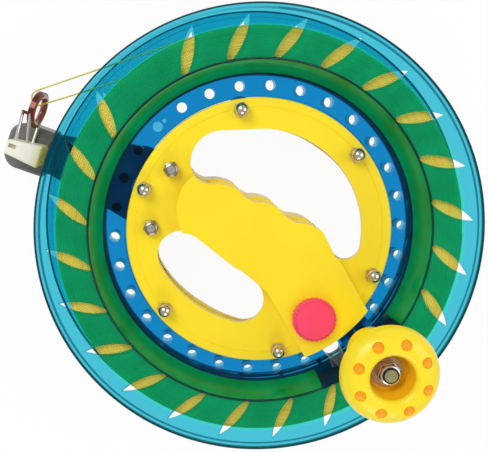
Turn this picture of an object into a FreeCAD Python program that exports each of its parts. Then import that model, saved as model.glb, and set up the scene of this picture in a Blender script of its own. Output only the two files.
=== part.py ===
import FreeCAD, Part
import math
import os

# Kite line winder: a translucent wheel that turns on six ball bearings round a fixed
# hand grip, with a turning knob, a sliding lock, and a guide ring on an arm behind.
# Millimetres. The winder lies on its back, +Z is the wheel's axis, towards its front.
# The origin is on that axis, in the plane on which the grip's back and the arm rest.

Vector = FreeCAD.Vector
AXIS = Vector(0, 0, 1)

# Clearances
RUN_GAP = 0.1
FIT_GAP = 0.05
SIDE_GAP = 0.3

# Wheel
rim_radius = 110.0
rim_bead = 3.0
rim_roll = 1.0
wheel_width = 40.0
wheel_lift = 9.0
flange_step = 1.5
flange_wall = 2.5
dish_top_radius = 84.0
dish_slope_width = 6.3
web_thickness = 10.0
race_depth = 1.0
drum_step = 0.7
drum_wall = 2.5
cavity_inset = 1.8
cavity_rise = 4.0
cavity_step = 2.0
wheel_slot_count = 24
wheel_slot_rim_margin = 5.2
wheel_slot_dish_margin = 1.8
wheel_slot_half_width = 2.7
wheel_slot_sweep = 7.0
wheel_slot_first = 3.5
wheel_slot_missing = 8
web_hole_count = 30
web_hole_radius = 2.5
web_hole_circle = 72.3
anchor_hole_radius = 1.0
anchor_hole_angle = 130.5

# Bearings that carry the wheel
bearing_count = 6
bearing_first = 39.0
bearing_circle = 61.0
bearing_bore = 4.0
bearing_outside = 13.0
bearing_width = 5.0
bearing_ring_wall = 1.2
ball_count = 7
ball_radius = 1.0
spacer_height = 1.0
outer_ring_inset = 0.1
race_side_gap = 0.2

# Hub, a front and a rear shell with the hand grip between two openings
hub_edge_radius = 66.1
plate_thickness = 5.1
front_grip_rise = 8.0
grip_edge_round = 2.5
grip_edge_steps = 3
hand_rim_wall = 1.8
hand_hole_margin = 15.1
tab_turn = 1.8
tab_seam_left = 11.9
tab_seam_right = 26.9
tab_seam_left_start = 26.5
tab_seam_right_start = 28.0
pocket_half_width = 11.0
pocket_roof = 3.1
pocket_wall = 2.0
rear_grip_radius = 57.0

# Fasteners
screw_radius = 2.0
screw_head_radius = 4.0
screw_head_height = 2.6
screw_socket_flats = 2.5
screw_socket_depth = 1.3
nut_flats = 7.0
acorn_hex_height = 3.2
acorn_height = 8.0
acorn_roof = 2.2
acorn_dome_inset = 0.2
lock_nut_height = 5.0
washer_height = 1.5

# Line
line_diameter = 0.8
line_under_rim = 10.1

# Winding knob
knob_inset = 1.8
knob_angle = 313.4
knob_height = 46.0
knob_radius = 22.9
knob_widest_height = 37.5
knob_under_radius = 18.1
knob_under_height = 32.3
knob_flare_radius = 12.0
knob_flare_height = 22.0
knob_waist_radius = 9.6
knob_waist_height = 13.0
knob_foot_radius = 11.6
knob_foot_height = 2.0
knob_crown_radius = 13.8
knob_crown_side_radius = 20.4
knob_crown_side_height = 43.3
knob_lip_depth = 2.6
knob_recess_radius = 10.3
knob_recess_floor_radius = 9.2
knob_recess_depth = 13.3
knob_dimple_circle = 16.7
knob_dimple_radius = 2.7
knob_dimple_first = 26.8
knob_dimple_count = 8
knob_lift = 0.5
knob_bolt_radius = 3.0
knob_bolt_flats = 10.0
knob_bolt_head = 4.0
knob_nut_height = 6.0
knob_washer_wall = 4.2
bolt_end_over_nut = 0.8
nut_collar_share = 0.3
nut_collar_inset = 0.3
saddle_over_web = 1.2
front_saddle_first = 292.0
front_saddle_last = 327.0
rear_saddle_first = 306.5
rear_saddle_last = 320.0
knob_boss_radius = 5.0

# Lock
lock_angle = 302.0
lock_button_circle = 50.1
lock_button_radius = 11.0
lock_button_top_radius = 9.8
lock_button_height = 4.6
lock_button_ribs = 30
lock_rib_radius = 0.45
lock_bar_width = 8.4
lock_bar_tail = 38.0
lock_bar_nose = 62.3
lock_nose_chamfer = 1.5
lock_stem_radius = 3.0
lock_stroke = 7.5
lock_rail_wall = 2.0
lock_rail_length = 20.0
lock_slot_radius = 4.4
lock_slot_margin = 0.6
lock_screw_radius = 1.25
lock_screw_head_radius = 2.6
lock_screw_head_height = 1.8
lock_screw_head_inset = 0.4
lock_cap_roof = 2.0
lock_stem_side_gap = 0.2
lock_rim_share = 0.42
lock_crown_height = 0.9
lock_crown_inset = 0.6

# Arm and line guide
arm_angle = 160.5
arm_thickness = 8.0
arm_root_x = 46.0
arm_root_length = 10.0
arm_full_x = 67.0
arm_root_width = 40.0
arm_tip_width = 21.5
arm_bolt_inset = 5.7
arm_bolt_spread = 30.4
bracket_rim_gap = 2.6
bracket_length = 21.4
bracket_width = 23.4
bracket_round = 7.5
bracket_top = 21.0
bracket_edge = 1.2
arm_root_gap = 1.0
arm_bolt_sink = 0.6
block_inset = 1.0
block_length = 17.4
block_inner_width = 11.2
block_outer_width = 7.0
block_height = 16.0
block_shift = 0.8
block_edge = 0.8
block_slot_length = 3.8
block_slot_width = 2.0
block_slot_depth = 3.0
block_slot_margin = 1.2
stud_radius = 1.25
stud_depth = 9.0
stud_inset = 4.6
guide_from_block = 9.2
guide_side = 20.4
guide_ring_outside = 17.1
guide_ring_hole = 10.6
guide_ring_width = 3.5
guide_tilt = 10.0
guide_band_wall = 0.5
guide_wire_radius = 0.8
guide_leg_from_block = 7.7
guide_leg_spread = 11.0
guide_brace_from_block = 14.6
guide_leg_depth = 2.6
guide_leg_reach = 0.95
guide_leg_side = 0.3
guide_brace_lift = 1.0
guide_brace_knee = 0.78
guide_band_inset = 0.4
guide_ring_edge = 0.5
guide_ring_mouth = 0.9

# Levels, radii and places worked out from the sizes above
mid_z = wheel_lift + wheel_width / 2
rim_front = wheel_width / 2
flange_front = rim_front - flange_step
flange_back = flange_front - flange_wall
web_front = web_thickness / 2
race_half = bearing_width / 2 + race_side_gap
race_radius = bearing_circle + bearing_outside / 2 + RUN_GAP
wheel_bore = race_radius - race_depth
plate_inner = bearing_width / 2 + spacer_height
plate_outer = plate_inner + plate_thickness
grip_front = plate_outer + front_grip_rise
dish_foot_radius = dish_top_radius - dish_slope_width
drum_radius = dish_top_radius + drum_step
wheel_slot_tip_radius = rim_radius - wheel_slot_rim_margin
wheel_slot_root_radius = dish_top_radius + wheel_slot_dish_margin
wound_radius = rim_radius - line_under_rim
core_radius = wound_radius - line_diameter - FIT_GAP
saddle_inner_radius = dish_foot_radius - saddle_over_web
knob_circle = dish_foot_radius + knob_inset
arm_root_end_x = arm_root_x + arm_root_length
arm_bolt_x = arm_root_x + arm_bolt_inset
bracket_x = rim_radius + bracket_rim_gap
bracket_end_x = bracket_x + bracket_length
block_x = bracket_x + block_inset
guide_x = block_x + guide_from_block
guide_leg_x = block_x + guide_leg_from_block
guide_brace_x = block_x + guide_brace_from_block


def polar(radius, degrees, z=0.0):
    angle = math.radians(degrees)
    return Vector(radius * math.cos(angle), radius * math.sin(angle), z)


def cylinder(radius, z_low, z_high, centre=None):
    place = centre if centre else Vector(0, 0, 0)
    return Part.makeCylinder(radius, z_high - z_low, Vector(place.x, place.y, z_low), AXIS)


def tube(outer, inner, z_low, z_high, centre=None):
    return cylinder(outer, z_low, z_high, centre).cut(cylinder(inner, z_low, z_high, centre))


def turned(profile, centre=None, sweep=360.0):
    """A solid of revolution about Z from a closed list of (radius, z) corners."""
    corners = [Vector(radius, 0, z) for radius, z in profile]
    face = Part.Face(Part.makePolygon(corners + [corners[0]]))
    solid = face.revolve(Vector(0, 0, 0), AXIS, sweep)
    if centre:
        solid.translate(Vector(centre.x, centre.y, 0))
    return solid


def hexagon(flats, z_low, z_high, centre, turn=0.0):
    corner = flats / math.sqrt(3)
    points = [centre + polar(corner, turn + 60.0 * side) for side in range(6)]
    points = [Vector(point.x, point.y, z_low) for point in points]
    face = Part.Face(Part.makePolygon(points + [points[0]]))
    return face.extrude(Vector(0, 0, z_high - z_low))


def box(x_low, x_high, y_low, y_high, z_low, z_high):
    corner = Vector(x_low, y_low, z_low)
    return Part.makeBox(x_high - x_low, y_high - y_low, z_high - z_low, corner)


def turned_to(shape, degrees):
    copy = shape.copy()
    copy.rotate(Vector(0, 0, 0), AXIS, degrees)
    return copy


def lifted(shape, z):
    copy = shape.copy()
    copy.translate(Vector(0, 0, z))
    return copy


def mirrored(shape):
    """The other half: the same shape turned over about the wheel's middle plane."""
    return shape.mirror(Vector(0, 0, mid_z), AXIS)


def rod(start, end, radius):
    along = end - start
    return Part.makeCylinder(radius, along.Length, start, along)


def arc(start, middle, end):
    return Part.Arc(start, middle, end).toShape()


def line(start, end):
    return Part.LineSegment(start, end).toShape()


def prism(edges, z_low, z_high):
    """A solid from a closed row of edges drawn at z 0."""
    face = Part.Face(Part.Wire(edges))
    face.translate(Vector(0, 0, z_low))
    return face.extrude(Vector(0, 0, z_high - z_low))


def bearing_places():
    step = 360.0 / bearing_count
    return [polar(bearing_circle, bearing_first + step * k) for k in range(bearing_count)]


# Wheel shells

def shell_profile():
    """Half of the wheel's section, with z counted from the middle plane."""
    cavity_outer = drum_radius - drum_wall
    cavity_inner = dish_foot_radius + cavity_inset
    cavity_top = web_front + cavity_rise
    return [
        (race_radius, 0),
        (cavity_inner, 0),
        (cavity_inner, web_front - cavity_step),
        (cavity_outer, cavity_top),
        (cavity_outer, 0),
        (drum_radius, 0),
        (drum_radius, flange_back),
        (rim_radius - rim_bead, flange_back),
        (rim_radius - rim_roll, flange_back - rim_roll),
        (rim_radius, flange_back),
        (rim_radius, rim_front - rim_roll),
        (rim_radius - rim_roll, rim_front),
        (rim_radius - rim_bead + rim_roll, rim_front),
        (rim_radius - rim_bead, flange_front),
        (dish_top_radius, flange_front),
        (dish_foot_radius, web_front),
        (wheel_bore, web_front),
        (wheel_bore, race_half),
        (race_radius, race_half),
    ]


def leaf_slot(angle):
    """One slanted window in the flange, a lens between two points."""
    tip = polar(wheel_slot_tip_radius, angle)
    root = polar(wheel_slot_root_radius, angle + wheel_slot_sweep)
    middle = (tip + root) * 0.5
    across = (tip - root).cross(AXIS)
    across.normalize()
    side = across * wheel_slot_half_width
    edges = [arc(tip, middle + side, root), arc(root, middle - side, tip)]
    return prism(edges, flange_back - 1, flange_front + 1)


def leaf_slots():
    step = 360.0 / wheel_slot_count
    kept = [k for k in range(wheel_slot_count) if k != wheel_slot_missing]
    return [leaf_slot(wheel_slot_first + step * k) for k in kept]


def web_holes():
    """The ring of through holes, without the two places that the lock slot takes."""
    step = 360.0 / web_hole_count
    holes = []
    for k in range(2, web_hole_count):
        centre = polar(web_hole_circle, lock_angle + step * k)
        holes.append(cylinder(web_hole_radius, -1, web_front + 1, centre))
    anchor = polar(web_hole_circle, anchor_hole_angle)
    holes.append(cylinder(anchor_hole_radius, -1, web_front + 1, anchor))
    return holes


def lock_slot():
    """The open slot in the web that the lock bar slides out to."""
    end_centre = saddle_inner_radius - lock_slot_margin - lock_slot_radius
    slot = box(wheel_bore - 3, end_centre, -lock_slot_radius, lock_slot_radius, -1, web_front + 1)
    slot = slot.fuse(cylinder(lock_slot_radius, -1, web_front + 1, Vector(end_centre, 0, 0)))
    return turned_to(slot, lock_angle)


def saddle(first, last):
    """The block that fills the dish where the knob stands, between two angles."""
    profile = [
        (saddle_inner_radius, web_front - 1),
        (saddle_inner_radius, flange_front),
        (dish_top_radius + 0.2, flange_front),
        (dish_top_radius - 1.0, web_front - 1),
    ]
    return turned_to(turned(profile, sweep=last - first), first)


def wheel_half(saddle_block):
    """One shell of the wheel, standing on the middle plane at z 0."""
    knob_place = polar(knob_circle, knob_angle)
    shell = turned(shell_profile())
    shell = shell.fuse([saddle_block, cylinder(knob_boss_radius, 0, web_front, knob_place)])
    shell = shell.cut(leaf_slots() + web_holes() + [lock_slot()])
    bolt_hole = cylinder(knob_bolt_radius + FIT_GAP, -1, rim_front + 1, knob_place)
    return shell.cut(bolt_hole).removeSplitter()


def front_wheel_shell():
    return lifted(wheel_half(saddle(front_saddle_first, front_saddle_last)), mid_z)


def rear_wheel_shell():
    """The front shell turned over, with a shorter saddle and a pocket for the bolt's head."""
    knob_place = polar(knob_circle, knob_angle)
    shell = wheel_half(saddle(rear_saddle_first, rear_saddle_last))
    shell = mirrored(lifted(shell, mid_z))
    pocket_radius = knob_bolt_flats / math.sqrt(3) + SIDE_GAP
    pocket = cylinder(pocket_radius, wheel_lift - 1, wheel_lift + knob_bolt_head, knob_place)
    return shell.cut(pocket)


# Wound line

def wound_sleeve(outer, inner):
    """A plain sleeve of wound line between the flanges."""
    half = flange_back - RUN_GAP
    return tube(outer, inner, mid_z - half, mid_z + half)


def line_core():
    """The packed line under the outer turns."""
    return wound_sleeve(core_radius, drum_radius + RUN_GAP)


def line_turns():
    """The outer layer of turns, as one plain sleeve a line's diameter thick."""
    return wound_sleeve(wound_radius, core_radius + FIT_GAP)


# Winding knob and what holds it

def knob_levels():
    foot = mid_z + flange_front + knob_lift
    return foot, foot + knob_height


def winding_knob():
    """A bun on a flared stem, with a deep recess for the nut and a ring of dimples."""
    foot, top = knob_levels()
    centre = polar(knob_circle, knob_angle)
    floor = top - knob_recess_depth
    lip = top - knob_lip_depth
    nut_room = knob_bolt_flats / math.sqrt(3) + SIDE_GAP + FIT_GAP
    nut_roof = foot - knob_lift + lock_nut_height + SIDE_GAP
    stem_hole = knob_bolt_radius + FIT_GAP
    foot_edge = (knob_foot_radius, foot + knob_foot_height)
    flare = (knob_flare_radius, foot + knob_flare_height)
    widest = (knob_radius, foot + knob_widest_height)
    crown = (knob_crown_radius, top)
    lip_edge = (knob_recess_radius, lip)
    lip_middle = (knob_recess_radius + 0.3 * knob_lip_depth, top - 0.3 * knob_lip_depth)
    outline = [
        arc_xz(foot_edge, (knob_waist_radius, foot + knob_waist_height), flare),
        arc_xz(flare, (knob_under_radius, foot + knob_under_height), widest),
        arc_xz(widest, (knob_crown_side_radius, foot + knob_crown_side_height), crown),
        arc_xz(crown, lip_middle, lip_edge),
    ]
    straight = [
        lip_edge,
        (knob_recess_floor_radius, floor),
        (stem_hole, floor),
        (stem_hole, nut_roof),
        (nut_room, nut_roof),
        (nut_room, foot),
        (knob_foot_radius, foot),
        foot_edge,
    ]
    corners = [Vector(radius, 0, z) for radius, z in straight]
    sides = [line(corners[k], corners[k + 1]) for k in range(len(corners) - 1)]
    face = Part.Face(Part.Wire(outline + sides))
    knob = face.revolve(Vector(0, 0, 0), AXIS, 360)
    dimples = []
    for k in range(knob_dimple_count):
        angle = knob_dimple_first + 360.0 / knob_dimple_count * k
        place = polar(knob_dimple_circle, angle, top)
        dimples.append(Part.makeSphere(knob_dimple_radius, place))
    knob = knob.cut(dimples)
    knob.translate(centre)
    return knob


def arc_xz(start, middle, end):
    points = [Vector(radius, 0, z) for radius, z in (start, middle, end)]
    return Part.Arc(points[0], points[1], points[2]).toShape()


def knob_stack():
    """Levels of the washer and nut that keep the knob on its bolt."""
    floor = knob_levels()[1] - knob_recess_depth
    washer_low = floor + RUN_GAP
    nut_low = washer_low + washer_height
    return washer_low, nut_low, nut_low + knob_nut_height


def knob_bolt():
    centre = polar(knob_circle, knob_angle)
    nut_top = knob_stack()[2]
    seat = wheel_lift + knob_bolt_head
    head = hexagon(knob_bolt_flats, wheel_lift, seat, centre, knob_angle)
    return head.fuse(cylinder(knob_bolt_radius, seat, nut_top + bolt_end_over_nut, centre))


def knob_lock_nut():
    centre = polar(knob_circle, knob_angle)
    low = mid_z + flange_front
    nut = hexagon(knob_bolt_flats, low, low + lock_nut_height, centre, knob_angle)
    return nut.cut(cylinder(knob_bolt_radius + FIT_GAP, low, low + lock_nut_height, centre))


def knob_washer():
    centre = polar(knob_circle, knob_angle)
    washer_low, nut_low, _ = knob_stack()
    inner = knob_bolt_radius + FIT_GAP
    return tube(inner + knob_washer_wall, inner, washer_low, nut_low, centre)


def collared_nut(flats, bolt_radius, low, high, centre, turn=0.0):
    """A hexagon nut with a round collar that holds a nylon ring."""
    collar_height = nut_collar_share * (high - low)
    hexagonal = hexagon(flats, low, high - collar_height, centre, turn)
    collar = cylinder(flats / 2 - nut_collar_inset, high - collar_height, high, centre)
    nut = hexagonal.fuse(collar)
    return nut.cut(cylinder(bolt_radius + FIT_GAP, low - 1, high + 1, centre))


def knob_nut():
    centre = polar(knob_circle, knob_angle)
    _, nut_low, nut_high = knob_stack()
    return collared_nut(knob_bolt_flats, knob_bolt_radius, nut_low, nut_high, centre, 12.0)


# Hub shells

def upper_hand_hole():
    """The outline of the finger opening, with three finger grooves on the grip's side."""
    outer_radius = hub_edge_radius - hand_hole_margin
    corner_right = polar(outer_radius, -6.5)
    crown = polar(outer_radius, 87.0)
    crown_left = Vector(-17.0, 50.4, 0)
    left = Vector(-34.3, 35.4, 0)
    shoulder = Vector(-25.5, 24.7, 0)
    bumps_and_grooves = [
        (shoulder, Vector(-17.6, 24.5, 0), Vector(-11.3, 22.0, 0)),
        (Vector(-11.3, 22.0, 0), Vector(-7.8, 18.4, 0), Vector(-2.9, 15.9, 0)),
        (Vector(-2.9, 15.9, 0), Vector(3.4, 15.3, 0), Vector(8.4, 13.0, 0)),
        (Vector(8.4, 13.0, 0), Vector(12.2, 8.7, 0), Vector(17.2, 5.6, 0)),
        (Vector(17.2, 5.6, 0), Vector(24.4, 4.5, 0), Vector(30.2, 1.2, 0)),
        (Vector(30.2, 1.2, 0), Vector(33.6, -5.0, 0), Vector(36.6, -11.2, 0)),
    ]
    thumb_end = bumps_and_grooves[-1][-1]
    outline = [
        arc(corner_right, polar(outer_radius, 40.0), crown),
        line(crown, crown_left),
        arc(crown_left, Vector(-30.6, 44.6, 0), left),
        arc(left, Vector(-32.3, 28.6, 0), shoulder),
    ]
    outline += [arc(start, middle, end) for start, middle, end in bumps_and_grooves]
    outline.append(arc(thumb_end, Vector(43.5, -14.2, 0), corner_right))
    return outline


def lower_hand_hole():
    """The outline of the palm opening, a bean between two round ends."""
    inner_right = Vector(-2.4, -24.8, 0)
    inner_left = Vector(-31.2, -1.6, 0)
    outer_left = Vector(-49.6, -16.7, 0)
    outer_right = Vector(-14.6, -45.2, 0)
    return [
        line(inner_right, inner_left),
        arc(inner_left, Vector(-50.2, -6.9, 0), outer_left),
        arc(outer_left, Vector(-34.2, -35.0, 0), outer_right),
        arc(outer_right, Vector(1.6, -38.0, 0), inner_right),
    ]


def hand_holes(z_low, z_high, grow=0.0):
    holes = []
    for outline in (upper_hand_hole(), lower_hand_hole()):
        wire = Part.Wire(outline)
        if grow:
            wire = wire.makeOffset2D(grow)
        face = Part.Face(wire)
        face.translate(Vector(0, 0, z_low))
        holes.append(face.extrude(Vector(0, 0, z_high - z_low)))
    return holes


def grip_outline(edge_radius):
    """The raised grip and its tab. It runs over the hand openings, which trim it."""
    along = polar(1.0, lock_angle - tab_turn)
    across = Vector(-along.y, along.x, 0)
    reach_left = math.sqrt(edge_radius ** 2 - tab_seam_left ** 2)
    reach_right = math.sqrt(edge_radius ** 2 - tab_seam_right ** 2)
    tab_left = along * reach_left - across * tab_seam_left
    tab_right = along * reach_right + across * tab_seam_right
    tab_end = along * edge_radius
    seam_left_start = along * tab_seam_left_start - across * tab_seam_left
    seam_right_start = along * tab_seam_right_start + across * tab_seam_right
    corners = [tab_right, seam_right_start, Vector(33, 4, 0), Vector(8, 22, 0), Vector(-30, 31, 0)]
    closing = [Vector(-34, -4, 0), Vector(-8, -19, 0), seam_left_start, tab_left]
    edges = [line(corners[k], corners[k + 1]) for k in range(len(corners) - 1)]
    edges.append(arc(corners[-1], Vector(-41.5, 12.5, 0), closing[0]))
    edges += [line(closing[k], closing[k + 1]) for k in range(len(closing) - 1)]
    edges.append(arc(tab_left, tab_end, tab_right))
    return edges


def pocket(z_low, z_high, half_width):
    """The hollow inside the grip, a slot with round ends."""
    first = Vector(-24.0, 10.5, 0)
    second = Vector(9.0, -11.3, 0)
    along = second - first
    side = along.cross(AXIS)
    side.normalize()
    side = side * half_width
    beyond = along * (half_width / along.Length)
    edges = [
        line(first + side, second + side),
        arc(second + side, second + beyond, second - side),
        line(second - side, first - side),
        arc(first - side, first - beyond, first + side),
    ]
    return prism(edges, z_low, z_high)


def lock_rails():
    """Two rails that guide the lock bar, from the middle plane up to the plate."""
    inner = lock_bar_width / 2 + SIDE_GAP
    outer = inner + lock_rail_wall
    start = lock_bar_tail + 1.0
    end = start + lock_rail_length
    rails = [box(start, end, low, high, 0, plate_inner + 1)
             for low, high in ((inner, outer), (-outer, -inner))]
    return [turned_to(rail, lock_angle) for rail in rails]


def screw_holes(z_low, z_high):
    radius = screw_radius + FIT_GAP
    holes = [cylinder(radius, z_low, z_high, place) for place in bearing_places()]
    holes += [cylinder(radius, z_low, z_high, place) for place in arm_bolt_places()]
    return holes


def raised_grip(grip_edges, grip_height):
    """The grip, trimmed by the hand openings, its edge rounded in low steps."""
    openings = [Part.Face(Part.Wire(edges)) for edges in (upper_hand_hole(), lower_hand_hole())]
    outline = Part.Face(Part.Wire(grip_edges)).cut(openings).Faces[0].OuterWire
    shoulder = grip_height - grip_edge_round
    layers = [prism(outline.Edges, plate_inner, shoulder)]
    low = shoulder
    for step in range(1, grip_edge_steps + 1):
        rise = math.sin(math.radians(90.0 * step / grip_edge_steps))
        inset = 1 - math.cos(math.radians(90.0 * (step - 0.5) / grip_edge_steps))
        inner = outline.makeOffset2D(-inset * grip_edge_round)
        high = shoulder + grip_edge_round * rise
        layers.append(prism(inner.Edges, low, high))
        low = high
    return layers[0].fuse(layers[1:])


def hub_half(grip_edges, grip_height):
    """One hub shell, standing on the middle plane at z 0."""
    plate = cylinder(hub_edge_radius, plate_inner, plate_outer)
    grip = raised_grip(grip_edges, grip_height)
    shell = plate.fuse([grip] + lock_rails() + hand_holes(0, plate_inner + 1, hand_rim_wall))
    shell = shell.fuse(pocket(0, plate_inner + 1, pocket_half_width + pocket_wall))
    hollow = pocket(-1, grip_height - pocket_roof, pocket_half_width)
    shell = shell.cut(hand_holes(-1, grip_height + 1) + [hollow])
    return shell.cut(screw_holes(-1, grip_height + 1)).removeSplitter()


def lock_stem_slot(z_low, z_high):
    radius = lock_stem_radius + lock_stem_side_gap
    start = lock_button_circle
    end = lock_button_circle + lock_stroke
    slot = box(start, end, -radius, radius, z_low, z_high)
    ends = [cylinder(radius, z_low, z_high, Vector(x, 0, 0)) for x in (start, end)]
    return turned_to(slot.fuse(ends), lock_angle)


def front_hub_shell():
    shell = hub_half(grip_outline(hub_edge_radius), grip_front)
    shell = shell.cut(lock_stem_slot(0, grip_front + 1))
    return lifted(shell, mid_z)


def rear_hub_shell():
    """The rear shell's grip is deeper, so that its back is what the winder lies on."""
    shell = hub_half(grip_outline(rear_grip_radius), mid_z)
    keep_out = box(arm_root_x - arm_root_gap, rim_radius, -arm_root_width, arm_root_width,
                   plate_outer, mid_z + 1)
    shell = shell.cut(turned_to(keep_out, arm_angle))
    return mirrored(lifted(shell, mid_z))


def arm_bolt_places():
    half = arm_bolt_spread / 2
    places = [Vector(arm_bolt_x, side, 0) for side in (-half, half)]
    turn = FreeCAD.Rotation(AXIS, arm_angle)
    return [turn.multVec(place) for place in places]


def hub_screws():
    low = mid_z - plate_outer - screw_head_height
    head_top = mid_z - plate_outer
    tip = mid_z + plate_outer + acorn_height - acorn_roof - SIDE_GAP
    screws = []
    for place in bearing_places():
        head = cylinder(screw_head_radius, low, head_top, place)
        socket = hexagon(screw_socket_flats, low - 1, low + screw_socket_depth, place)
        screws.append(head.fuse(cylinder(screw_radius, head_top, tip, place)).cut(socket))
    return Part.makeCompound(screws)


def acorn_nuts():
    low = mid_z + plate_outer
    bore_top = low + acorn_height - acorn_roof
    dome_radius = nut_flats / 2 - acorn_dome_inset
    shoulder = low + acorn_height - dome_radius
    nuts = []
    for number, place in enumerate(bearing_places()):
        nut = hexagon(nut_flats, low, low + acorn_hex_height, place, 17.0 * number)
        nut = nut.fuse(cylinder(dome_radius, low, shoulder, place))
        dome = Part.makeSphere(dome_radius, Vector(place.x, place.y, shoulder))
        above = cylinder(dome_radius + 1, shoulder, shoulder + dome_radius + 1, place)
        nut = nut.fuse(dome.common(above))
        nuts.append(nut.cut(cylinder(screw_radius + FIT_GAP, low - 1, bore_top, place)))
    return Part.makeCompound(nuts)


# Bearings

def ball_circle():
    return (bearing_bore + bearing_outside) / 4


def ball_groove(gap):
    radius = ball_radius + gap
    return Part.makeTorus(ball_circle(), radius, Vector(0, 0, mid_z), AXIS)


def bearing_inner_rings():
    inner = bearing_bore / 2 + FIT_GAP
    half = bearing_width / 2
    ring = tube(inner + bearing_ring_wall, inner, mid_z - half, mid_z + half)
    ring = ring.cut(ball_groove(FIT_GAP))
    return Part.makeCompound([moved_to(ring, place) for place in bearing_places()])


def bearing_outer_ring(place):
    outer = bearing_outside / 2
    half = bearing_width / 2 - outer_ring_inset
    ring = tube(outer, outer - bearing_ring_wall, mid_z - half, mid_z + half)
    return moved_to(ring.cut(ball_groove(RUN_GAP)), place)


def bearing_balls():
    balls = []
    for place in bearing_places():
        for k in range(ball_count):
            spot = place + polar(ball_circle(), 360.0 / ball_count * k, mid_z)
            balls.append(Part.makeSphere(ball_radius, spot))
    return Part.makeCompound(balls)


def bearing_spacers():
    outer = bearing_bore / 2 + bearing_ring_wall
    inner = screw_radius + FIT_GAP
    levels = [mid_z - plate_inner, mid_z + bearing_width / 2]
    rings = [tube(outer, inner, low, low + spacer_height, place)
             for place in bearing_places() for low in levels]
    return Part.makeCompound(rings)


def moved_to(shape, place):
    copy = shape.copy()
    copy.translate(Vector(place.x, place.y, 0))
    return copy


# Lock

def lock_slider():
    half = lock_bar_width / 2
    thick = plate_inner - SIDE_GAP
    nose = lock_bar_nose
    bevel = lock_nose_chamfer
    corners = [
        Vector(lock_bar_tail, -half, 0),
        Vector(nose - bevel, -half, 0),
        Vector(nose, bevel - half, 0),
        Vector(nose, half - bevel, 0),
        Vector(nose - bevel, half, 0),
        Vector(lock_bar_tail, half, 0),
    ]
    face = Part.Face(Part.makePolygon(corners + [corners[0]]))
    face.translate(Vector(0, 0, mid_z - thick))
    bar = face.extrude(Vector(0, 0, 2 * thick))
    place = Vector(lock_button_circle, 0, 0)
    bar = bar.cut(cylinder(lock_screw_radius + FIT_GAP, 0, mid_z + thick + 1, place))
    head_room = lock_screw_head_radius + FIT_GAP
    head_depth = lock_screw_head_inset + lock_screw_head_height
    bar = bar.cut(cylinder(head_room, 0, mid_z - thick + head_depth, place))
    return turned_to(bar, lock_angle)


def lock_button():
    """The ribbed button: a low cap on a stem that stands on the lock bar."""
    cap_low = mid_z + grip_front + SIDE_GAP
    cap_high = cap_low + lock_button_height
    rim = cap_low + lock_rim_share * lock_button_height
    profile = [
        (0, cap_low),
        (lock_button_radius, cap_low),
        (lock_button_radius, rim),
        (lock_button_top_radius, cap_high - lock_crown_height),
        (lock_button_top_radius - lock_crown_inset, cap_high),
        (0, cap_high),
    ]
    cap = turned(profile)
    ribs = []
    for k in range(lock_button_ribs):
        place = polar(lock_button_radius, 360.0 / lock_button_ribs * k)
        ribs.append(cylinder(lock_rib_radius, cap_low - 1, cap_high + 1, place))
    cap = cap.cut(ribs)
    stem_low = mid_z + plate_inner - SIDE_GAP
    stem = cylinder(lock_stem_radius, stem_low, cap_low)
    hole = cylinder(lock_screw_radius + FIT_GAP, stem_low - 1, cap_low - lock_cap_roof)
    button = cap.fuse(stem).cut(hole)
    button.translate(polar(lock_button_circle, lock_angle))
    return button


def lock_screw():
    place = polar(lock_button_circle, lock_angle)
    head_low = mid_z - plate_inner + SIDE_GAP + lock_screw_head_inset
    seat = head_low + lock_screw_head_height
    tip = mid_z + grip_front - lock_cap_roof - SIDE_GAP
    head = cylinder(lock_screw_head_radius, head_low, seat, place)
    return head.fuse(cylinder(lock_screw_radius, seat, tip, place))


# Arm and guide. These are drawn along +X and then turned to the arm's angle.

def arm_blade():
    half_root = arm_root_width / 2
    half_tip = arm_tip_width / 2
    corners = [
        Vector(arm_root_x, -half_root, 0),
        Vector(arm_full_x, -half_root, 0),
        Vector(rim_radius, -half_tip, 0),
        Vector(bracket_x + 4, -half_tip, 0),
        Vector(bracket_x + 4, half_tip, 0),
        Vector(rim_radius, half_tip, 0),
        Vector(arm_full_x, half_root, 0),
        Vector(arm_root_x, half_root, 0),
    ]
    face = Part.Face(Part.makePolygon(corners + [corners[0]]))
    return face.extrude(Vector(0, 0, arm_thickness))


def arm_bracket():
    """The upright end of the arm, with round outer corners."""
    half = bracket_width / 2
    upright = box(bracket_x, bracket_end_x, -half, half, 0, bracket_top)
    outer = [edge for edge in upright.Edges
             if abs(edge.BoundBox.XMin - bracket_end_x) < 0.01
             and edge.BoundBox.ZLength > bracket_top - 0.01]
    upright = upright.makeFillet(bracket_round, outer)
    tops = [edge for edge in upright.Edges
            if edge.BoundBox.ZMin > bracket_top - 0.01]
    return upright.makeChamfer(bracket_edge, tops)


def guide_arm():
    root_top = mid_z - plate_outer
    root = box(arm_root_x, arm_root_end_x, -arm_root_width / 2, arm_root_width / 2,
               0, root_top)
    arm = arm_blade().fuse([root, arm_bracket()]).removeSplitter()
    head_room = screw_head_radius + SIDE_GAP
    for side in (-arm_bolt_spread / 2, arm_bolt_spread / 2):
        place = Vector(arm_bolt_x, side, 0)
        arm = arm.cut(cylinder(screw_radius + FIT_GAP, -1, root_top + 1, place))
        arm = arm.cut(cylinder(head_room, -1, arm_bolt_seat(), place))
    for place in stud_places():
        arm = arm.cut(cylinder(stud_radius + FIT_GAP, bracket_top - stud_depth, bracket_top + 1, place))
    return turned_to(arm, arm_angle)


def arm_bolt_seat():
    return arm_bolt_sink + screw_head_height


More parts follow.
